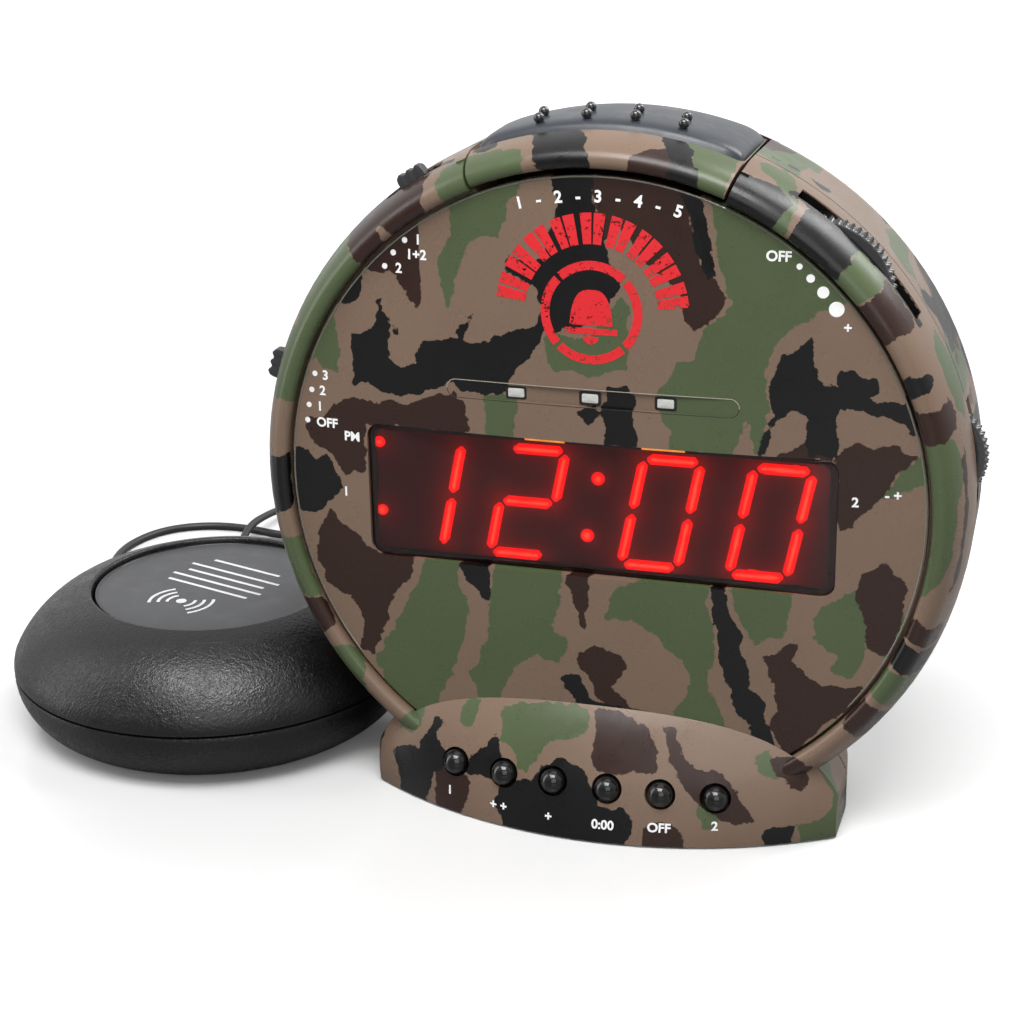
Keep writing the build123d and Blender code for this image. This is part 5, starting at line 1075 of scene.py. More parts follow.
def lamp_bar_edge(side, width):
    """Half of the lamp bar's outline, the upper for side 1 and the lower for side -1: a quarter circle, a
    straight run and a quarter circle, as a strip of a width folded into the recess. The upper strip carries a
    painted highlight and the lower strip painted shade."""
    quarter = np.linspace(0, 90, 10)
    turn = np.radians(np.concatenate([quarter, np.full(59, 90.0), quarter + 90]))
    half = lamp_bar_half_length - lamp_bar_radius
    along = np.concatenate([np.full(9, half), np.linspace(half, -half, 61), np.full(9, -half)])
    over, up = np.cos(turn), side * np.sin(turn)
    rows = []
    for reach, deep in ((lamp_bar_radius + width, -0.02), (lamp_bar_radius + width / 2, -0.05),
                        (lamp_bar_radius, 0.12)):
        x, rise = lamp_bar_middle + along + reach * over, lamp_rise + reach * up
        rows.append(on_clock(x, dome_depth(x, rise) + deep, rise))
    return grid(np.stack(rows))


def make_shells():
    """Camouflage shells: copies of the CAD surfaces that carry the pattern, with the dial's rim bead, whose
    pale gloss is partly painted highlight, and the painted highlight and painted shade lines round the lamp
    bar."""
    made = camouflage()
    for name, source, limit, body, kind in (
            ("dial_panel", "front_panel", 1.6, CLOCK, "dial"),
            ("ring_and_hood", "front_case", 1.8, CLOCK, "ring"),
            ("rear_shell", "rear_case", 2.6, CLOCK, "ring"),
            ("snooze_cover", "snooze_bar", 1.2, "snooze", "ring"),
            ("battery_cover", "battery_door", 2.0, "door", "ring")):
        piece, points = fine_copy(name, source, limit, body, made)
        paint(piece, points, kind)
    # Pale glossy bead along the dial's edge: its pale colour is painted highlight along the groove
    new_piece("dial_rim", [dial_rim()], CLOCK,
              moulded("Dial rim bead with painted highlight", (0.13, 0.12, 0.095), 0.14, 0.3, 1800.0, 0.000004, 0.05,
                      coat=1.0))
    # Painted highlight: a pale strip along the top of the lamp bar's recess; painted shade: a dark strip
    # along its bottom
    new_piece("lamp_bar_painted_highlight", [lamp_bar_edge(1.0, 0.3)], CLOCK,
              moulded("Lamp bar painted highlight line", (0.3, 0.27, 0.22), 0.25, 0.2, coat=0.5))
    new_piece("lamp_bar_painted_shade", [lamp_bar_edge(-1.0, 0.22)], CLOCK,
              moulded("Lamp bar painted shade line", (0.014, 0.01, 0.009), 0.5, 0.2))


def pad_surface(near, far, low, high, half_angle):
    """A pad bent round the dial: at each angle a section (radius, depth) with rounded corners, whose
    height and width shrink as sqrt(1 - t^2) over the last millimetres to each end, and whose top
    falls by 0.9 t^1.5 towards the back."""
    t = np.linspace(-1, 1, 97)
    arc = t * half_angle * np.pi / 180 * low
    end = np.clip((np.abs(arc) - (np.abs(arc).max() - 5.5)) / 5.5, 0, 1)
    lift = np.sqrt(np.maximum(1 - end ** 2, 0.0))[:, None]
    a = np.linspace(0, np.pi, 33)
    middle, half = (near + far) / 2, (far - near) / 2
    across = -blunt(np.cos(a), 0.28)
    up = np.abs(np.sin(a)) ** 0.5
    skew = 1.3 * up * (across < 0)
    depth = middle + (half * across + skew)[None, :] * (0.8 + 0.2 * lift)
    fall = 0.9 * np.clip(across, 0, 1) ** 1.5
    radius = low + (high - low - fall)[None, :] * up[None, :] * lift
    angle = np.radians(90 - t * half_angle)[:, None]
    return on_clock(radius * np.cos(angle), depth, radius * np.sin(angle))


def ball(centre, radius):
    """A sphere: circles of radius R sin a at heights R cos a."""
    a = np.linspace(0, np.pi, ball_circles)
    profile = np.stack([radius * np.sin(a), radius * np.cos(a)], -1)
    return grid(turned(profile, 2 * ball_circles) + np.asarray(centre), True)


def make_snooze_grip():
    """Bluish black pad on the snooze bar and its eight glossy balls."""
    c, s = colours(), sizes()
    pad = pad_surface(9.3, 35.0, pad_bottom, pad_top, 21.5)
    new_piece("snooze_grip", [grid(pad), grid(pad[:, [0, -1]])], "snooze",
              moulded("Snooze pad satin", c.pad, 0.34, 0.12, 2400.0), ("snooze_pad",))
    balls = []
    for angle in (101.0, 93.6, 86.2, 78.9):
        x, rise = polar(pad_top + 0.7, angle)
        for depth, aside in ((12.6, 0.0), (19.8, -1.0)):
            balls.append(ball((x + aside, dial_y + depth, dial_height + rise), s.bump_radius / MM))
    new_piece("snooze_bumps", balls, "snooze",
              moulded("Glossy black bumps", (0.012, 0.012, 0.013), 0.12, 0.1, 1500.0, 0.000004, 0.05,
                      coat=0.6))


# Display

def window_surface(half_width, half_height, corner, front, back):
    """A rounded rectangle bent like the dial: rings from its middle out to its rim on the front, then
    the same inwards on the back. The rim is x = w sgn(cos) , z = h sgn(sin) rounded by its corners."""
    turn = np.radians(np.arange(0, 360, 2.5) + 1.25)
    quarter = np.floor(turn / (np.pi / 2)).astype(int)
    corner_x = np.array([1, -1, -1, 1])[quarter] * (half_width - corner)
    corner_z = np.array([1, 1, -1, -1])[quarter] * (half_height - corner)
    rim_x = corner_x + corner * np.cos(turn)
    rim_z = corner_z + corner * np.sin(turn)
    share = np.array([0.0, 0.4, 0.7, 0.9, 0.985, 1.0])
    x = np.concatenate([np.outer(share, rim_x), np.outer(share[::-1], rim_x)])
    z = np.concatenate([np.outer(share, rim_z), np.outer(share[::-1], rim_z)]) + window_rise
    edge = np.concatenate([[0, 0, 0, 0, 0, 0.2], [-0.2, 0, 0, 0, 0, 0]])[:, None]
    layer = np.concatenate([np.full(6, front), np.full(6, back)])[:, None]
    return on_clock(x, dome_depth(x, z) + layer + edge, z)


def bar_points(width, length, angle, lean):
    """Outline of a six-sided bar with pointed, slightly blunted ends, then its middle line."""
    point = width / 2
    half = length / 2
    rim = np.array([(-half, 0.28), (-half + point - 0.25, point), (half - point + 0.25, point),
                    (half, 0.28), (half, -0.28), (half - point + 0.25, -point),
                    (-half + point - 0.25, -point), (-half, -0.28)])
    spine = np.array([(-half + point, 0.0), (half - point, 0.0)])
    both = np.concatenate([rim, spine])
    x, z = rotated(both[:, 0], both[:, 1], angle)
    return x + z * lean, z


lit_dots = ((-0.3, 3.95, 1.45), (-2.7, -9.15, 1.45), (-49.3, 8.3, 1.2), (-49.2, -7.5, 1.2))
BAR_FACES = [(0, 1, 8), (1, 2, 9, 8), (2, 3, 9), (3, 4, 9), (4, 5, 9), (5, 6, 8, 9), (6, 7, 8), (7, 0, 8)]


def lit_bar_surfaces():
    """Bars of the four digits, as roofs 0.1 mm high over the module's face, and the round dots."""
    s = sizes()
    half, width = s.digit_height / MM / 2, s.digit_width / MM
    gap, stroke, lean, rise = 0.7, s.segment_width / MM, digit_lean, digit_rise
    across, down = width - 2 * gap, half - 2 * gap
    bars = {"a": (0, half, across, 0), "g": (0, 0, across, 0), "d": (0, -half, across, 0),
            "b": (width / 2, half / 2, down, 90), "c": (width / 2, -half / 2, down, 90),
            "f": (-width / 2, half / 2, down, 90), "e": (-width / 2, -half / 2, down, 90)}
    surfaces, across_value = [], []
    near, back = 3.2, 3.55
    for middle, pattern in zip(digit_middles, digit_bars):
        for name in pattern:
            x, z, length, angle = bars[name]
            bar_x, bar_z = bar_points(stroke, length, angle, lean)
            bar_x, bar_z = bar_x + middle + x + z * lean, bar_z + rise + z
            depth = np.where(np.arange(10) < 8, near, near - 0.1)
            front = on_clock(bar_x, depth, bar_z)
            rear = on_clock(bar_x[:8], np.full(8, back), bar_z[:8])
            sides = [(i + 10, (i + 1) % 8 + 10, (i + 1) % 8, i) for i in range(8)]
            surfaces.append((np.concatenate([front, rear]), BAR_FACES + sides + [tuple(range(17, 9, -1))]))
            across_value.append([0.0] * 8 + [1.0] * 2 + [0.0] * 8)
    for x, z, radius in lit_dots:
        profile = np.array([(0, back), (radius, back), (radius, near), (radius * 0.5, near - 0.08),
                            (0, near - 0.1)])
        dot = turned(profile, 24)
        surfaces.append(grid(on_clock(dot[..., 0] + x, dot[..., 2], dot[..., 1] + z), True))
        across_value.append([0.0, 0.0, 0.1, 0.7, 1.0] * 24)
    return surfaces, np.concatenate(across_value)


def window_painted_glow():
    """A plane behind the bars with a painted glow, standing for the bars' scattered light, which falls off
    from each bar as exp(-d / 2 mm), summed.
    """
    s = sizes()
    x, z = np.meshgrid(np.linspace(-50.2, 50.2, 151), np.linspace(-16.1, 12.5, 45), indexing="ij")
    half, width, lean = s.digit_height / MM / 2, s.digit_width / MM / 2, digit_lean
    ends = {"a": (-1, 1, 1, 1), "g": (-1, 0, 1, 0), "d": (-1, -1, 1, -1), "b": (1, 0, 1, 1),
            "c": (1, -1, 1, 0), "f": (-1, 0, -1, 1), "e": (-1, -1, -1, 0)}
    glow = np.zeros_like(x)
    for middle, pattern in zip(digit_middles, digit_bars):
        for name in pattern:
            ax, az, bx, bz = ends[name]
            start = np.array([middle + ax * width + az * half * lean, digit_rise + az * half])
            way = np.array([middle + bx * width + bz * half * lean, digit_rise + bz * half]) - start
            share = np.clip(((x - start[0]) * way[0] + (z - start[1]) * way[1]) / (way @ way), 0.12, 0.88)
            gap = np.hypot(x - start[0] - share * way[0], z - start[1] - share * way[1])
            glow += np.exp(-np.maximum(gap - 1.0, 0) / 2.0)
    for dot_x, dot_z, radius in lit_dots:
        glow += 0.8 * np.exp(-np.maximum(np.hypot(x - dot_x, z - dot_z) - radius, 0) / 1.6)
    points, faces = grid(on_clock(x, np.full_like(x, 3.57), z))
    return points, faces, glow.ravel()


def window_border():
    """A narrow band just inside the window's rim, laid on its front."""
    rims = [window_surface(window_half_width - inset, window_half_height - inset, window_corner - less,
                           0.46, 0.46)[row] for inset, less, row in ((0.05, 0.0, 5), (0.9, 0.8, 4))]
    return [grid(np.stack(rims), False, True)]


def led_piece(name, points, faces, label, values, material, nodes):
    """A lit piece whose material reads one number for each vertex."""
    piece = plain_piece(name, points, faces)
    attribute(piece.data, label, values)
    finished(piece, CLOCK, material, nodes)


def lamp_surfaces(half_width, half_height, shares, depths):
    """Three caps in the lamp bar: an outline of half sizes times sgn(t) |t|^0.25 for the cosine and
    sine t, drawn at shares of its size and depths behind the dial's surface."""
    a = np.radians(np.linspace(0, 360, 40, endpoint=False) + 4.5)
    round_x, round_z = half_width * blunt(np.cos(a), 0.25), half_height * blunt(np.sin(a), 0.25)
    share, depth = np.array(shares)[:, None], np.array(depths)[:, None]
    return [grid(on_clock(x + share * round_x, depth + dome_depth(x, lamp_rise),
                          lamp_rise + share * round_z), False, True)
            for x in (lamp_bar_middle - lamp_pitch, lamp_bar_middle, lamp_bar_middle + lamp_pitch)]


def make_display():
    """Window with its border, painted glow and painted edge glints, lit bars and lamp caps."""
    # Painted glow: an emissive plane behind the bars
    points, faces, glow = window_painted_glow()
    led_piece("window_painted_glow", points, faces[:, ::-1].tolist(), "glow", glow, red_haze(), ())
    # A black band just inside the window's rim, for the dark edge round the window
    new_piece("window_border", window_border(), CLOCK,
              moulded("Window border ink", (0.006, 0.005, 0.005), 0.3, 0.1))
    # Painted glints: orange emissive strips along the window's top edge over two digits, standing for the
    # bars' light glinting there
    glints = []
    for start, end in ((-15.2, -6.4), (10.2, 19.4)):
        x = np.linspace(start, end, 9)
        rows = [on_clock(x, dome_depth(x, 13.0) + depth, np.full(9, z))
                for depth, z in ((0.1, 13.38), (0.43, 13.2), (0.43, 12.85))]
        glints.append(grid(np.stack(rows)))
    new_piece("window_edge_glints", glints, CLOCK, edge_glint())
    window = window_surface(window_half_width, window_half_height, window_corner, 0.5, 2.4)
    new_piece("window_lens", [grid(window, False, True)], CLOCK, smoked_red(),
              ("display_window",))
    surfaces, across = lit_bar_surfaces()
    points, faces = joined(surfaces)
    led_piece("lit_bars", points, faces, "across", across, lit_led(), ("led_segments",))
    black = moulded("Lamp frame black", (0.006, 0.006, 0.006), 0.3, 0.2)
    new_piece("lamp_frames", lamp_surfaces(2.35, 1.5, (0, 0.9, 1, 1), (0.45, 0.45, 0.5, 0.68)),
              CLOCK, black)
    new_piece("lamp_caps", lamp_surfaces(1.82, 1.02, (0, 0.8, 0.97, 1, 1), (0.33, 0.35, 0.45, 0.6, 3.55)),
              CLOCK, lamp_white(), ("lamp_lenses",))


# Controls

def make_keys():
    """Six glossy domes: a cylinder that ends in a part of a sphere, standing out of the hood, with a
    flange behind it and a stem that ends at the same plane for all six."""
    s = sizes()
    radius, stand = s.key_radius / MM, s.key_stand / MM
    tilt = math.radians(key_tilt)
    way = np.array([0.0, -math.cos(tilt), math.sin(tilt)])
    material = moulded("Glossy key", colours().key, 0.12, 0.12, 1800.0, 0.000004, 0.04, specular=0.4,
                       coat=0.25)
    a = np.linspace(0, np.pi / 2, 22)
    dome = np.stack([radius * np.sin(a), stand - radius + radius * np.cos(a)], -1)
    datum = np.array([0.0, float(hood_front_y(np.array(0.0), key_height)), key_height])
    for number, (x, drop) in enumerate(zip(key_places, key_drops), 1):
        z = key_height - drop
        origin = np.array([x, float(hood_front_y(np.array(x), z)), z])
        end = key_stem_end - float((origin - datum) @ way)
        rest = np.array([(radius, -4.9), (4.2, -4.9), (4.2, -6.0), (1.2, -6.0), (1.2, end), (0, end)])
        points = placed_along(turned(np.concatenate([dome, rest]), 48), origin, way)
        new_piece(f"key_dome_{number}", [grid(points, True)], f"key_{number}", material,
                  (f"key_{number}",))


def wheel_surface(radius, near, far, teeth, bore):
    """A knurled wheel: its rim is R - d (1 - |tri(teeth t)|) |tri(rows w)|, two rows of points, and its
    faces are flat rings with a bevel, down to the bore."""
    t = np.linspace(0, 2 * np.pi, teeth * 6, endpoint=False)[:, None]
    w = np.linspace(0, 1, 17)[None, :]
    tooth = np.abs((t * teeth / (2 * np.pi)) % 1 * 2 - 1)
    row = 1 - np.abs((w * 2) % 1 * 2 - 1)
    depth = sizes().tooth_depth / MM
    rim = radius - depth + depth * (1 - tooth) * row
    along = near + 0.3 + (far - near - 0.6) * w
    inner = np.array([bore, radius * 0.5, radius * 0.8, radius - depth - 0.5, radius - depth - 0.15])
    sink = np.array([0.25, 0.25, 0.0, 0.0, 0.08])
    one = np.ones_like(t)
    r = np.concatenate([one * inner, rim, one * inner[::-1]], 1)
    d = np.concatenate([one * (near + sink), one * along, one * (far - sink[::-1])], 1)
    return np.stack([r * np.cos(t), r * np.sin(t), d], -1)


def make_wheels():
    """Volume and tone thumbwheels with their knurled rims."""
    c = colours()
    material = moulded("Knurled wheel", c.wheel, 0.22, 0.2, 3000.0, 0.00001, 0.2, coat=0.5)
    for name, source, body, angle, axle, radius, near, far, teeth in (
            ("volume_knurl", "volume_wheel", "volume", volume_angle, 63.6, 16.3, 7.0, 10.6, 64),
            ("tone_knurl", "tone_wheel", "tone", tone_angle, 68.0, 12.5, 17.2, 20.8, 50)):
        x, rise = polar(axle, angle)
        points = wheel_surface(radius, near, far, teeth, 2.56)
        points = on_clock(points[..., 0] + x, points[..., 2], points[..., 1] + rise)
        new_piece(name, [grid(points, True, True)], body, material, (source,), 20.0)


def slider_surface(angle, depth):
    """A slide knob: a rounded block whose top rises and falls as cos^2 in three ridges."""
    u = np.linspace(-1, 1, 61)[:, None]
    v = np.linspace(-1, 1, 15)[None, :]
    half_length, half_width, low, high = 3.2, 1.4, 71.6, 79.9
    ridge = 0.55 * np.cos(1.5 * np.pi * u) ** 2
    edge = 0.5 * (np.clip((np.abs(u) - 0.93) / 0.07, 0, 1) ** 2 + np.clip((np.abs(v) - 0.8) / 0.2, 0, 1) ** 2)
    top = high - 0.55 + ridge - edge
    along, across = half_length * u + 0 * v, half_width * v + 0 * u
    tangent, outwards = (-math.sin(angle), math.cos(angle)), (math.cos(angle), math.sin(angle))
    surfaces = []
    for height in (top, low + 0 * top):
        x = outwards[0] * height + tangent[0] * along
        rise = outwards[1] * height + tangent[1] * along
        surfaces.append(on_clock(x, depth + across, rise))
    upper, lower = surfaces
    walls = [np.stack([upper[0], lower[0]]), np.stack([upper[-1], lower[-1]]),
             np.stack([upper[:, 0], lower[:, 0]]), np.stack([upper[:, -1], lower[:, -1]])]
    return [grid(upper), grid(lower)] + [grid(wall) for wall in walls]


def make_sliders():
    """Alarm select and mode slide knobs."""
    material = moulded("Slide knob", colours().wheel, 0.38, 0.15, 2500.0)
    for name, source, body, angle in (("alarm_slider", "alarm_select_knob", "alarm_select",
                                       alarm_select_angle),
                                      ("mode_slider", "mode_knob", "mode_select", mode_angle)):
        new_piece(name, slider_surface(math.radians(angle), 8.7), body, material, (source,))


# Shaker

def arc_through(a, b, c, count):
    """Points on the circle through three points, from the first to the last."""
    a, b, c = (np.array(p, float) for p in (a, b, c))
    d = 2 * ((a[0] - c[0]) * (b[1] - c[1]) - (b[0] - c[0]) * (a[1] - c[1]))
    sa, sb, sc = (p @ p for p in (a, b, c))
    centre = np.array([(sa - sc) * (b[1] - c[1]) - (sb - sc) * (a[1] - c[1]),
                       (a[0] - c[0]) * (sb - sc) - (b[0] - c[0]) * (sa - sc)]) / d
    first, last = (math.atan2(*(p - centre)[::-1]) for p in (a, c))
    if abs(last - first) > math.pi:
        last += math.copysign(2 * math.pi, first - last)
    t = np.linspace(first, last, count)
    return centre + np.hypot(*(a - centre)) * np.stack([np.cos(t), np.sin(t)], -1)


def around_shaker(profile):
    """A (radius, height) profile turned about the shaker's axis, in the frame."""
    points = turned(np.asarray(profile, float), shaker_sides)
    return points + np.array([shaker_centre[0], shaker_centre[1], 0.0])


def make_shaker():
    """Shaker shells with rounded lips at the seam and the rim, and the disc in the top with a black band at
    its edge, painted shade of the gap round the disc: outlines (radius, height) turned about the shaker's
    axis."""
    rim, crease = (30.6, 33.2), (48.4, 19.3)
    middle = (rim[0] + (crease[0] - rim[0]) * 0.52, crease[1] + (rim[1] - crease[1]) * 0.69)
    dome = arc_through(rim, middle, crease, 40)
    lip = [(0, 29.0), (28.9, 29.0), (29.2, 31.2), (29.25, 32.7), (29.4, 33.15), (29.75, 33.4), (30.1, 33.36)]
    seam_lip = [(48.95, 18.2), (49.25, 16.8), (49.3, 15.9), (49.1, 15.3), (48.6, 15.2), (46.6, 15.2),
                (46.0, 18.6)]
    upper = np.concatenate([lip, dome, seam_lip, dome[::-4] - (2.2, 2.2), [(26.0, 27.0), (0, 27.0)]])
    material = leather_black()
    new_piece("shaker_top", [grid(around_shaker(upper), True)], CLOCK, material,
              ("shaker_upper_shell",), 50.0)
    share = math.sqrt(0.5)
    seam, foot = (49.3, 14.8), (34.5, 0.0)
    middle = (foot[0] + (seam[0] - foot[0]) * share, seam[1] - (seam[1] - foot[1]) * share)
    bowl = arc_through(foot, middle, (49.28, 14.2), 30)
    lower = np.concatenate([[(0, 0.0), (34.0, 0.0)], bowl, [(49.1, 14.7), (48.6, 14.8), (46.9, 14.8)],
                            bowl[::-3] + (-2.4, 2.0), [(0, 2.4)]])
    new_piece("shaker_bottom", [grid(around_shaker(lower), True)], CLOCK, material,
              ("shaker_lower_shell",), 50.0)
    disc = [(0, 32.3), (20.0, 32.3), (28.1, 32.3), (28.5, 32.2), (28.55, 31.9), (28.55, 31.5), (0, 31.5)]
    border = [(27.7, 32.31), (27.75, 32.37), (28.4, 32.37), (28.5, 32.2)]
    # Painted shade: a black band at the disc's edge, standing for the dark gap round it
    new_piece("disc_painted_shade_band", [grid(around_shaker(border), True, True)], CLOCK,
              moulded("Disc edge painted shade", (0.004, 0.004, 0.004), 0.2, 0.2, 2000.0, 0.000004, 0.1))
    new_piece("shaker_badge", [grid(around_shaker(disc), True)], CLOCK,
              moulded("Shaker label film", colours().label, 0.4, 0.2, 2600.0, 0.00001, 0.3),
              ("shaker_label",))


# Printed marks

def plate(outline_x, outline_z, lay):
    """A thin closed plate on a surface: the outline at two heights over it, capped and walled."""
    count = len(outline_x)
    front, back = lay(outline_x, outline_z, 0.05), lay(outline_x, outline_z, 0.01)
    i = np.arange(count)
    sides = np.stack([i, (i + 1) % count, (i + 1) % count + count, i + count], -1).tolist()
    caps = [list(range(count)), list(range(2 * count - 1, count - 1, -1))]
    return np.concatenate([front, back]), caps + sides


def dial_lay(x, rise, lift):
    """Frame points a lift in front of the dial."""
    return on_clock(x, dome_depth(x, rise) - lift, rise)


def hood_lay(x, z, lift):
    """Frame points a lift in front of the hood, for a frame height z."""
    return np.stack(np.broadcast_arrays(x, hood_front_y(x, z) - lift - 0.06, z), -1)


def label_lay(x, y, lift):
    """Frame points a lift over the shaker's disc."""
    return np.stack(np.broadcast_arrays(shaker_centre[0] + x, shaker_centre[1] + y, 32.3 + lift), -1)


def dot(x, z, radius, lay):
    """A round plate."""
    a = np.linspace(0, 2 * np.pi, 28, endpoint=False)
    return plate(x + radius * np.cos(a), z + radius * np.sin(a), lay)


def words(text, x, z, size, lay, turn=0.0):
    """Letters of a size in mm laid on a surface about (x, z), turned by degrees."""
    curve = bpy.data.curves.new("letters", "FONT")
    curve.body, curve.size, curve.align_x, curve.align_y = text, size, "CENTER", "CENTER"
    curve.offset, curve.resolution_u = letter_weight * size, 4
    curve.extrude = 0.02
    holder = bpy.data.objects.new("letters", curve)
    mesh = bpy.data.meshes.new_from_object(holder)
    flat = np.empty(len(mesh.vertices) * 3, np.float32)
    mesh.vertices.foreach_get("co", flat)
    flat = flat.reshape(-1, 3).astype(float)
    faces = [list(face.vertices) for face in mesh.polygons]
    bpy.data.objects.remove(holder)
    bpy.data.meshes.remove(mesh)
    bpy.data.curves.remove(curve)
    u, v = rotated(flat[:, 0], flat[:, 1], turn)
    return lay(x + u, z + v, 0.03 + flat[:, 2]), faces


def print_piece(name, surfaces, material):
    """A printed mark as one thin mesh on the clock's body."""
    finished(plain_piece(name, *joined(surfaces)), CLOCK, material, ())


def ring_band(x, z, inner, outer, start, end):
    """Outline of a part of a ring between two radii and two angles."""
    a = np.radians(np.linspace(start, end, 24))
    return (np.concatenate([x + outer * np.cos(a), x + inner * np.cos(a[::-1])]),
            np.concatenate([z + outer * np.sin(a), z + inner * np.sin(a[::-1])]))


def make_marks():
    """White scales and numbers, the red bell emblem, and plain marks on the shaker's disc."""
    c = colours()
    white = [dot(x, z, 0.62, dial_lay) for x, z in
             ((-41.6, 54), (-44.2, 51.2), (-46.2, 48.2), (-63.3, 23.3), (-64.2, 19.6), (-65, 16.1),
              (-65.5, 12.6), (41.7, 53.1))]
    white += [dot(44, 50.8, 0.85, dial_lay), dot(46.6, 48.1, 1.2, dial_lay), dot(49.4, 44.8, 1.55, dial_lay)]
    for text, x, z in (("1", -38.6, 54.2), ("1+2", -39.0, 51.0), ("2", -43.0, 47.9), ("3", -60.8, 23.0),
                       ("2", -61.6, 19.5), ("1", -62.4, 15.9), ("OFF", -60.8, 12.3), ("PM", -54.9, 9.8),
                       ("1", -56.9, -3.1), ("OFF", 37.5, 54.9), ("+", 51.8, 41.0), ("2", 54.8, 4.5),
                       ("- +", 62.4, 6.4)):
        white.append(words(text, x, z, 2.9, dial_lay))
    for step, text in enumerate("1-2-3-4-5"):
        angle = 104.5 - step * 3.7
        x, z = polar(65.2, angle)
        white.append(words(text, x, z, 3.4, dial_lay, angle - 90))
    print_piece("dial_print", white, ink("White dial print", c.white_print, 0.0))
    labels = [words(text, x, z, 2.9, hood_lay) for text, x, z in
              (("1", -32.6, 5.6), ("+ +", -20.2, 5.0), ("+", -8.2, 4.8), ("0:00", 4.2, 4.6),
               ("OFF", 16.5, 4.9), ("2", 28.3, 5.6))]
    print_piece("key_print", labels, ink("White dial print", c.white_print, 0.0))
    x, z = -0.7, 41.4
    red = [plate(*ring_band(x, z, 8.9, 10.8, start + 2.5, start + 87.5), dial_lay)
           for start in (45, 135, 225, 315)]
    for step in range(9):
        middle = 166 - step * 19.0
        for start, end in ((-7.6, -0.7), (0.7, 7.6)):
            red.append(plate(*ring_band(x, z, 14.2, 20.6, middle + start, middle + end), dial_lay))
    h = np.linspace(-1, 1, 31)
    bell_x = 4.6 * h
    bell_z = -2.6 + 7.4 * (1 - np.abs(h) ** 3.2) ** 0.6
    red.append(plate(x + bell_x, z + bell_z, dial_lay))
    red.append(plate(x + np.array([-5.6, 5.6, 5.6, -5.6]), z + np.array([-4.5, -4.5, -3.2, -3.2]), dial_lay))
    red.append(plate(*ring_band(x, z - 4.9, 0.0, 1.7, 185, 355), dial_lay))
    print_piece("dial_emblem", red, ink("Red stencil print", c.red_print, 0.6))
    bars = []
    for row, half in ((13.0, 10.5), (8.5, 14.0), (5.0, 12.0), (1.5, 14.0), (-2.0, 12.5)):
        outline = np.array([(-half, row - 0.45), (half, row - 0.45), (half, row + 0.45), (-half, row + 0.45)])
        bars.append(plate(*rotated(outline[:, 0], outline[:, 1], -17.0), label_lay))
    for reach in (3.0, 5.2, 7.4):
        for middle in (-17.0, 163.0):
            wave = ring_band(-3.3, -11.0, reach, reach + 0.8, middle - 38, middle + 38)
            bars.append(plate(*wave, label_lay))
    bars.append(dot(-3.3, -11.0, 1.3, label_lay))
    print_piece("shaker_print", bars, ink("Grey disc print", c.disc_print, 0.2))


# Inner parts and trim that keep their CAD shape

def dress_frame():
    """Detailed finishes for the CAD nodes that no piece replaces."""
    black = moulded("Black moulding", (0.02, 0.02, 0.021), 0.45, 0.12)
    housing = moulded("Window frame black", (0.012, 0.011, 0.011), 0.5, 0.12, 2600.0)
    steel = metal("Zinc plated steel", (0.62, 0.62, 0.6))
    tinned = metal("Tinned spring metal", (0.7, 0.68, 0.62), 0.25)
    switch = moulded("Switch housing", (0.03, 0.03, 0.032), 0.4, 0.1)
    feet = moulded("Foot rubber", (0.025, 0.025, 0.025), 0.75, 0.15, 1500.0, 0.00004)
    paper = moulded("Speaker paper", (0.05, 0.045, 0.04), 0.85, 0.3, 1200.0, 0.00008)
    ferrite = moulded("Ferrite magnet", (0.045, 0.045, 0.048), 0.6, 0.25, 1600.0, 0.00005)
    jacket = moulded("Battery jacket", (0.05, 0.09, 0.16), 0.3, 0.1)
    finishes = {
        housing: ("display_housing",), display_face(): ("led_module",),
        circuit_board(): ("lamp_board", "key_board", "main_board"),
        switch: ("snooze_switch", "key_switches", "alarm_select_body", "mode_body"),
        steel: ("volume_pot", "tone_pot", "board_screws", "case_screws", "base_screws", "speaker_frame",
                "door_pin", "shaker_screws", "motor_shaft"),
        paper: ("speaker_cone",), ferrite: ("speaker_magnet",), jacket: ("battery",),
        tinned: ("battery_contacts",), feet: ("rubber_feet",),
        black: ("base_plate", "battery_tray", "power_jack", "shaker_jack", "motor_clamp"),
        metal("Motor can", (0.55, 0.55, 0.54), 0.35): ("shaker_motor",),
        metal("Sintered weight", (0.45, 0.4, 0.32), 0.45): ("eccentric_weight",),
    }
    for material, names in finishes.items():
        for name in names:
            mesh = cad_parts[name].data
            mesh.materials.clear()
            mesh.materials.append(material)


# Stage

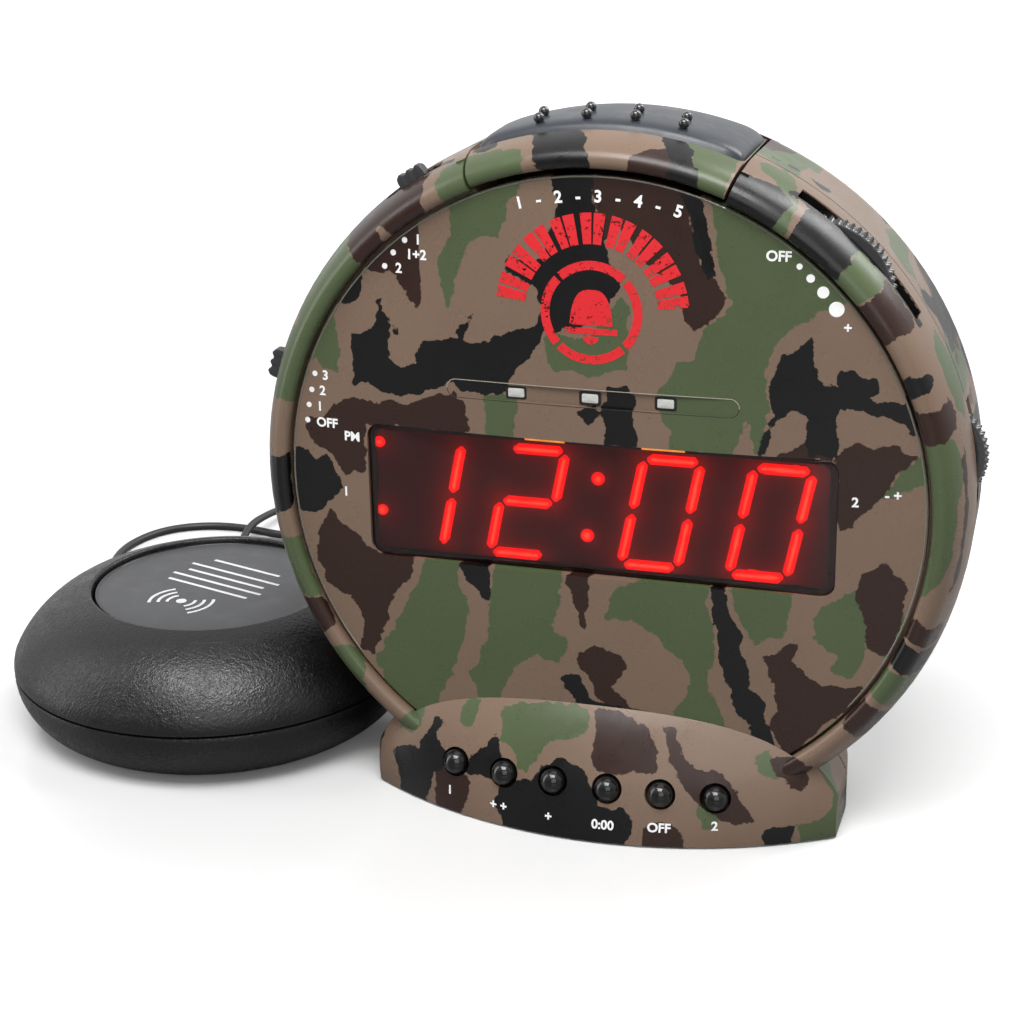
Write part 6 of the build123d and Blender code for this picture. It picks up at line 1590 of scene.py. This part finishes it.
def make_floor():
    """Pale table that keeps the shadows and fades to white far from the clock."""
    floor_points = turned(np.array([(0.0, -0.02), (400.0, -0.02), (4000.0, -0.02)]), 64)
    points, faces = grid(floor_points, True)
    floor = plain_piece("floor", points, faces.tolist())
    made, tree, shader = blank_material("Pale table")
    place = object_place(tree)
    ray = node(tree, "ShaderNodeLightPath")
    tone = maths(tree, "MULTIPLY_ADD", ray.outputs["Is Camera Ray"], table_lift, table_tone)
    faint = maths(tree, "MULTIPLY_ADD", noise(tree, place, 8.0, 2.0), 0.02, tone)
    shade = node(tree, "ShaderNodeCombineColor", {0: faint, 1: faint, 2: faint}).outputs[0]
    tree.links.new(shade, shader.inputs["Base Color"])
    shader.inputs["Roughness"].default_value = 0.22
    shader.inputs["Specular IOR Level"].default_value = 0.35
    reach = node(tree, "ShaderNodeVectorMath", {0: place}, operation="LENGTH").outputs["Value"]
    far = maths(tree, "MULTIPLY_ADD", spread(tree, reach, 0.25, 0.9), 0.7, 0.03)
    lift = node(tree, "ShaderNodeEmission", {"Color": (1, 1, 1, 1), "Strength": maths(
        tree, "MULTIPLY", ray.outputs["Is Camera Ray"], far)})
    both = node(tree, "ShaderNodeAddShader")
    tree.links.new(shader.outputs[0], both.inputs[0])
    tree.links.new(lift.outputs[0], both.inputs[1])
    tree.links.new(both.outputs[0], tree.nodes["Material Output"].inputs[0])
    floor.data.materials.append(made)


def make_world():
    """Even light all round, white where the camera sees it and in reflections from behind and above."""
    world = bpy.data.worlds.new("Studio")
    bpy.context.scene.world = world
    world.use_nodes = True
    tree = world.node_tree
    tree.nodes.clear()
    ray = node(tree, "ShaderNodeLightPath")
    way = node(tree, "ShaderNodeSeparateXYZ", {0: node(tree, "ShaderNodeTexCoord").outputs["Generated"]})
    back = spread(tree, maths(tree, "ADD", way.outputs["Y"], way.outputs["Z"]), -0.6, 0.9)
    white_seen = maths(tree, "MULTIPLY", maths(tree, "MAXIMUM", ray.outputs["Is Glossy Ray"],
                                               ray.outputs["Is Transmission Ray"]), back)
    seen = maths(tree, "MAXIMUM", ray.outputs["Is Camera Ray"], white_seen)
    strength = maths(tree, "MULTIPLY_ADD", seen, 1.0 - world_tone, world_tone)
    shine = node(tree, "ShaderNodeBackground", {"Color": (1, 1, 1, 1), "Strength": strength})
    node(tree, "ShaderNodeOutputWorld", {0: shine.outputs[0]})


def make_lamps():
    """Soft lamps: (name, place, aim, width, height, power)."""
    s = sizes()
    for name, place, aim, width, height, power in (
            ("Overhead softbox", (0.06, -0.62, 1.1), (-0.02, 0.0, 0.08), 0.75, 0.4, s.key_power),
            ("Top strip", (-0.02, -0.38, 1.2), (-0.02, 0.0, 0.1), 1.0, 0.22, s.top_power),
            ("Right rim strip", (0.6, 0.5, 0.95), (0.02, 0.02, 0.1), 0.4, 0.9, s.rim_power),
            ("Front fill", (0.55, -1.5, 0.75), (-0.02, 0.0, 0.07), 1.2, 1.0, s.fill_power),
            ("Left strip", (-1.2, -0.3, 0.5), (-0.05, 0.0, 0.07), 0.4, 1.2, s.side_power)):
        lamp = bpy.data.lights.new(name, "AREA")
        lamp.shape, lamp.size, lamp.size_y, lamp.energy = "RECTANGLE", width, height, power
        holder = placed(name, lamp)
        holder.location = place
        holder.rotation_euler = (Vector(aim) - Vector(place)).to_track_quat("-Z", "Y").to_euler()


def make_camera():
    """Camera in front of the clock, to its right and above it."""
    yaw, pitch, roll = (math.radians(v) for v in (camera_yaw, camera_pitch, camera_roll))
    back_way = Vector((math.sin(yaw) * math.cos(pitch), -math.cos(yaw) * math.cos(pitch), math.sin(pitch)))
    right = Vector((math.cos(yaw), math.sin(yaw), 0))
    up = back_way.cross(right)
    right, up = math.cos(roll) * right + math.sin(roll) * up, math.cos(roll) * up - math.sin(roll) * right
    camera = placed("Camera", bpy.data.cameras.new("Camera"))
    camera.data.lens = camera_lens
    camera.data.sensor_width = camera_sensor
    camera.data.clip_start = 0.01
    camera.matrix_world = Matrix.Translation(camera_place) @ Matrix(
        (right, up, back_way)).transposed().to_4x4()
    bpy.context.scene.camera = camera


def make_stage():
    """Floor, surroundings, lamps and camera."""
    make_floor()
    make_world()
    make_lamps()
    make_camera()
    bpy.context.scene.view_settings.view_transform = "Standard"


# Add-on

def length_property(name, description, value):
    """A length that a user may change."""
    return FloatProperty(name=name, description=description, default=value, min=0.0, unit="LENGTH",
                         precision=5)


def power_property(name, lamp, value):
    """The power of a lamp in watts."""
    return FloatProperty(name=name, description=f"Power of {lamp} in watts", default=value)


def colour_property(name, description, value):
    """A colour that a user may change, as linear red, green and blue."""
    return FloatVectorProperty(name=name, description=description, default=value, min=0.0, max=1.0,
                               size=3, subtype="COLOR")


class ClockSizes(bpy.types.PropertyGroup):
    """Sizes in metres and brightnesses that a user may change."""
    cord_diameter: length_property("Cord diameter", "Outside diameter of the shaker's cord", 0.0022)
    bump_radius: length_property("Bump radius", "Radius of the balls on the snooze pad", 0.00115)
    key_radius: length_property("Key radius", "Radius of a domed key", 0.0029)
    key_stand: length_property("Key stand", "How far a key stands in front of the hood", 0.0023)
    tooth_depth: length_property("Tooth depth", "Depth of the knurling on the wheels", 0.0008)
    digit_height: length_property("Digit height", "Between the top and bottom bars' middles", 0.0241)
    digit_width: length_property("Digit width", "Between the left and right bars' middles", 0.0123)
    segment_width: length_property("Bar width", "Width of a lit bar", 0.0023)
    leather_size: length_property("Leather grain", "Size of a pebble of the shaker's grain", 0.00062)
    led_strength: FloatProperty(name="LED strength", description="Brightness of the lit bars", default=3.2)
    # Strength of the painted glow on the module's face and on the plane behind the bars
    window_glow: FloatProperty(name="Painted window glow", description="Glow of the face behind the window",
                               default=0.4)
    key_power: power_property("Overhead power", "the overhead lamp", 10.5)
    fill_power: power_property("Fill power", "the front lamp", 7.0)
    top_power: power_property("Top power", "the strip over the clock", 6.0)
    rim_power: power_property("Rim power", "the lamp behind on the right", 10.0)
    side_power: power_property("Side power", "the left lamp", 5.0)


class ClockColours(bpy.types.PropertyGroup):
    """Linear colours that a user may change."""
    tan: colour_property("Tan", "Ground colour of the camouflage", (0.172, 0.115, 0.081))
    green: colour_property("Green", "Green of the camouflage", (0.066, 0.09, 0.04))
    brown: colour_property("Brown", "Brown of the camouflage", (0.025, 0.010, 0.0065))
    black: colour_property("Black", "Black of the camouflage", (0.0025, 0.0025, 0.0027))
    window_tint: colour_property("Window tint", "Colour of the clear red window", (0.45, 0.045, 0.04))
    display_back: colour_property("Display face", "Face behind the window", (0.05, 0.007, 0.006))
    lit_rim: colour_property("Lit rim", "Edge of a lit bar", (0.75, 0.012, 0.02))
    lit_core: colour_property("Lit core", "Middle of a lit bar", (1.0, 0.75, 0.4))
    pad: colour_property("Snooze pad", "Pad on the snooze bar", (0.022, 0.026, 0.034))
    key: colour_property("Keys", "Domed keys", (0.004, 0.004, 0.0045))
    wheel: colour_property("Wheels", "Thumbwheels and slide knobs", (0.022, 0.022, 0.024))
    shaker: colour_property("Shaker", "Shaker shells", (0.005, 0.005, 0.0055))
    label: colour_property("Shaker disc", "Disc in the shaker's top", (0.04, 0.041, 0.045))
    cord: colour_property("Cord", "Cord and its fittings", (0.015, 0.015, 0.016))
    white_print: colour_property("White print", "Marks on the dial and hood", (0.85, 0.85, 0.85))
    red_print: colour_property("Red print", "Emblem on the dial", (0.66, 0.013, 0.02))
    disc_print: colour_property("Disc print", "Marks on the shaker's disc", (0.6, 0.6, 0.6))


class ClockOperator(bpy.types.Operator):
    """What all of the clock's operators share"""
    bl_options = {"REGISTER", "UNDO"}


class CLOCK_OT_stage(ClockOperator):
    """Pale floor, soft lamps and camera"""
    bl_idname = "clock.stage"
    bl_label = "Stage"

    def execute(self, context):
        make_stage()
        return {"FINISHED"}


class CLOCK_OT_cord(ClockOperator):
    """Shaker's cord with its strain relief, coil, tie and plug"""
    bl_idname = "clock.cord"
    bl_label = "Cord"

    def execute(self, context):
        cord = make_cord()
        make_cord_fittings()
        return {"FINISHED"}


class CLOCK_OT_shells(ClockOperator):
    """Camouflage dial, ring with hood, rear shell, snooze bar and battery door"""
    bl_idname = "clock.shells"
    bl_label = "Camouflage shells"

    def execute(self, context):
        make_shells()
        return {"FINISHED"}


class CLOCK_OT_snooze_grip(ClockOperator):
    """Snooze pad with its bumps"""
    bl_idname = "clock.snooze_grip"
    bl_label = "Snooze pad"

    def execute(self, context):
        make_snooze_grip()
        return {"FINISHED"}


class CLOCK_OT_display(ClockOperator):
    """Window, lit bars and lamp caps"""
    bl_idname = "clock.display"
    bl_label = "Display"

    def execute(self, context):
        make_display()
        return {"FINISHED"}


class CLOCK_OT_keys(ClockOperator):
    """Six domed keys in the hood"""
    bl_idname = "clock.keys"
    bl_label = "Keys"

    def execute(self, context):
        make_keys()
        return {"FINISHED"}


class CLOCK_OT_wheels(ClockOperator):
    """Volume and tone thumbwheels"""
    bl_idname = "clock.wheels"
    bl_label = "Thumbwheels"

    def execute(self, context):
        make_wheels()
        return {"FINISHED"}


class CLOCK_OT_sliders(ClockOperator):
    """Two slide knobs on the ring"""
    bl_idname = "clock.sliders"
    bl_label = "Slide knobs"

    def execute(self, context):
        make_sliders()
        return {"FINISHED"}


class CLOCK_OT_shaker(ClockOperator):
    """Shaker shells and the disc in the top"""
    bl_idname = "clock.shaker"
    bl_label = "Shaker"

    def execute(self, context):
        make_shaker()
        return {"FINISHED"}


class CLOCK_OT_marks(ClockOperator):
    """Printed scales, numbers and emblem"""
    bl_idname = "clock.marks"
    bl_label = "Printed marks"

    def execute(self, context):
        make_marks()
        return {"FINISHED"}


class CLOCK_OT_dress(ClockOperator):
    """Finishes of the parts that keep their CAD shape"""
    bl_idname = "clock.dress"
    bl_label = "Inner parts"

    def execute(self, context):
        dress_frame()
        return {"FINISHED"}


OPERATORS = (CLOCK_OT_stage, CLOCK_OT_cord, CLOCK_OT_shells, CLOCK_OT_snooze_grip, CLOCK_OT_display,
             CLOCK_OT_keys, CLOCK_OT_wheels, CLOCK_OT_sliders, CLOCK_OT_shaker, CLOCK_OT_marks,
             CLOCK_OT_dress)


class CLOCK_PT_panel(bpy.types.Panel):
    """Lists the operators, sizes and colours in the sidebar"""
    bl_label = "Bed shaker alarm clock"
    bl_idname = "CLOCK_PT_panel"
    bl_space_type = "VIEW_3D"
    bl_region_type = "UI"
    bl_category = "Clock"

    def draw(self, context):
        for kind in OPERATORS:
            self.layout.operator(kind.bl_idname)
        for group in (context.scene.clock_sizes, context.scene.clock_colours):
            box = self.layout.box()
            for name in group.__annotations__:
                box.prop(group, name)


CLASSES = (ClockSizes, ClockColours) + OPERATORS + (CLOCK_PT_panel,)


def register():
    """Adds the classes and the scene's two groups of properties."""
    for kind in CLASSES:
        bpy.utils.register_class(kind)
    bpy.types.Scene.clock_sizes = PointerProperty(type=ClockSizes)
    bpy.types.Scene.clock_colours = PointerProperty(type=ClockColours)


def unregister():
    """Takes them away again."""
    del bpy.types.Scene.clock_colours
    del bpy.types.Scene.clock_sizes
    for kind in reversed(CLASSES):
        bpy.utils.unregister_class(kind)


def main():
    """Registers the add-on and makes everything."""
    register()
    for kind in OPERATORS:
        area, name = kind.bl_idname.split(".")
        getattr(getattr(bpy.ops, area), name)()
    bpy.context.view_layer.update()


if __name__ == "__main__":
    main()
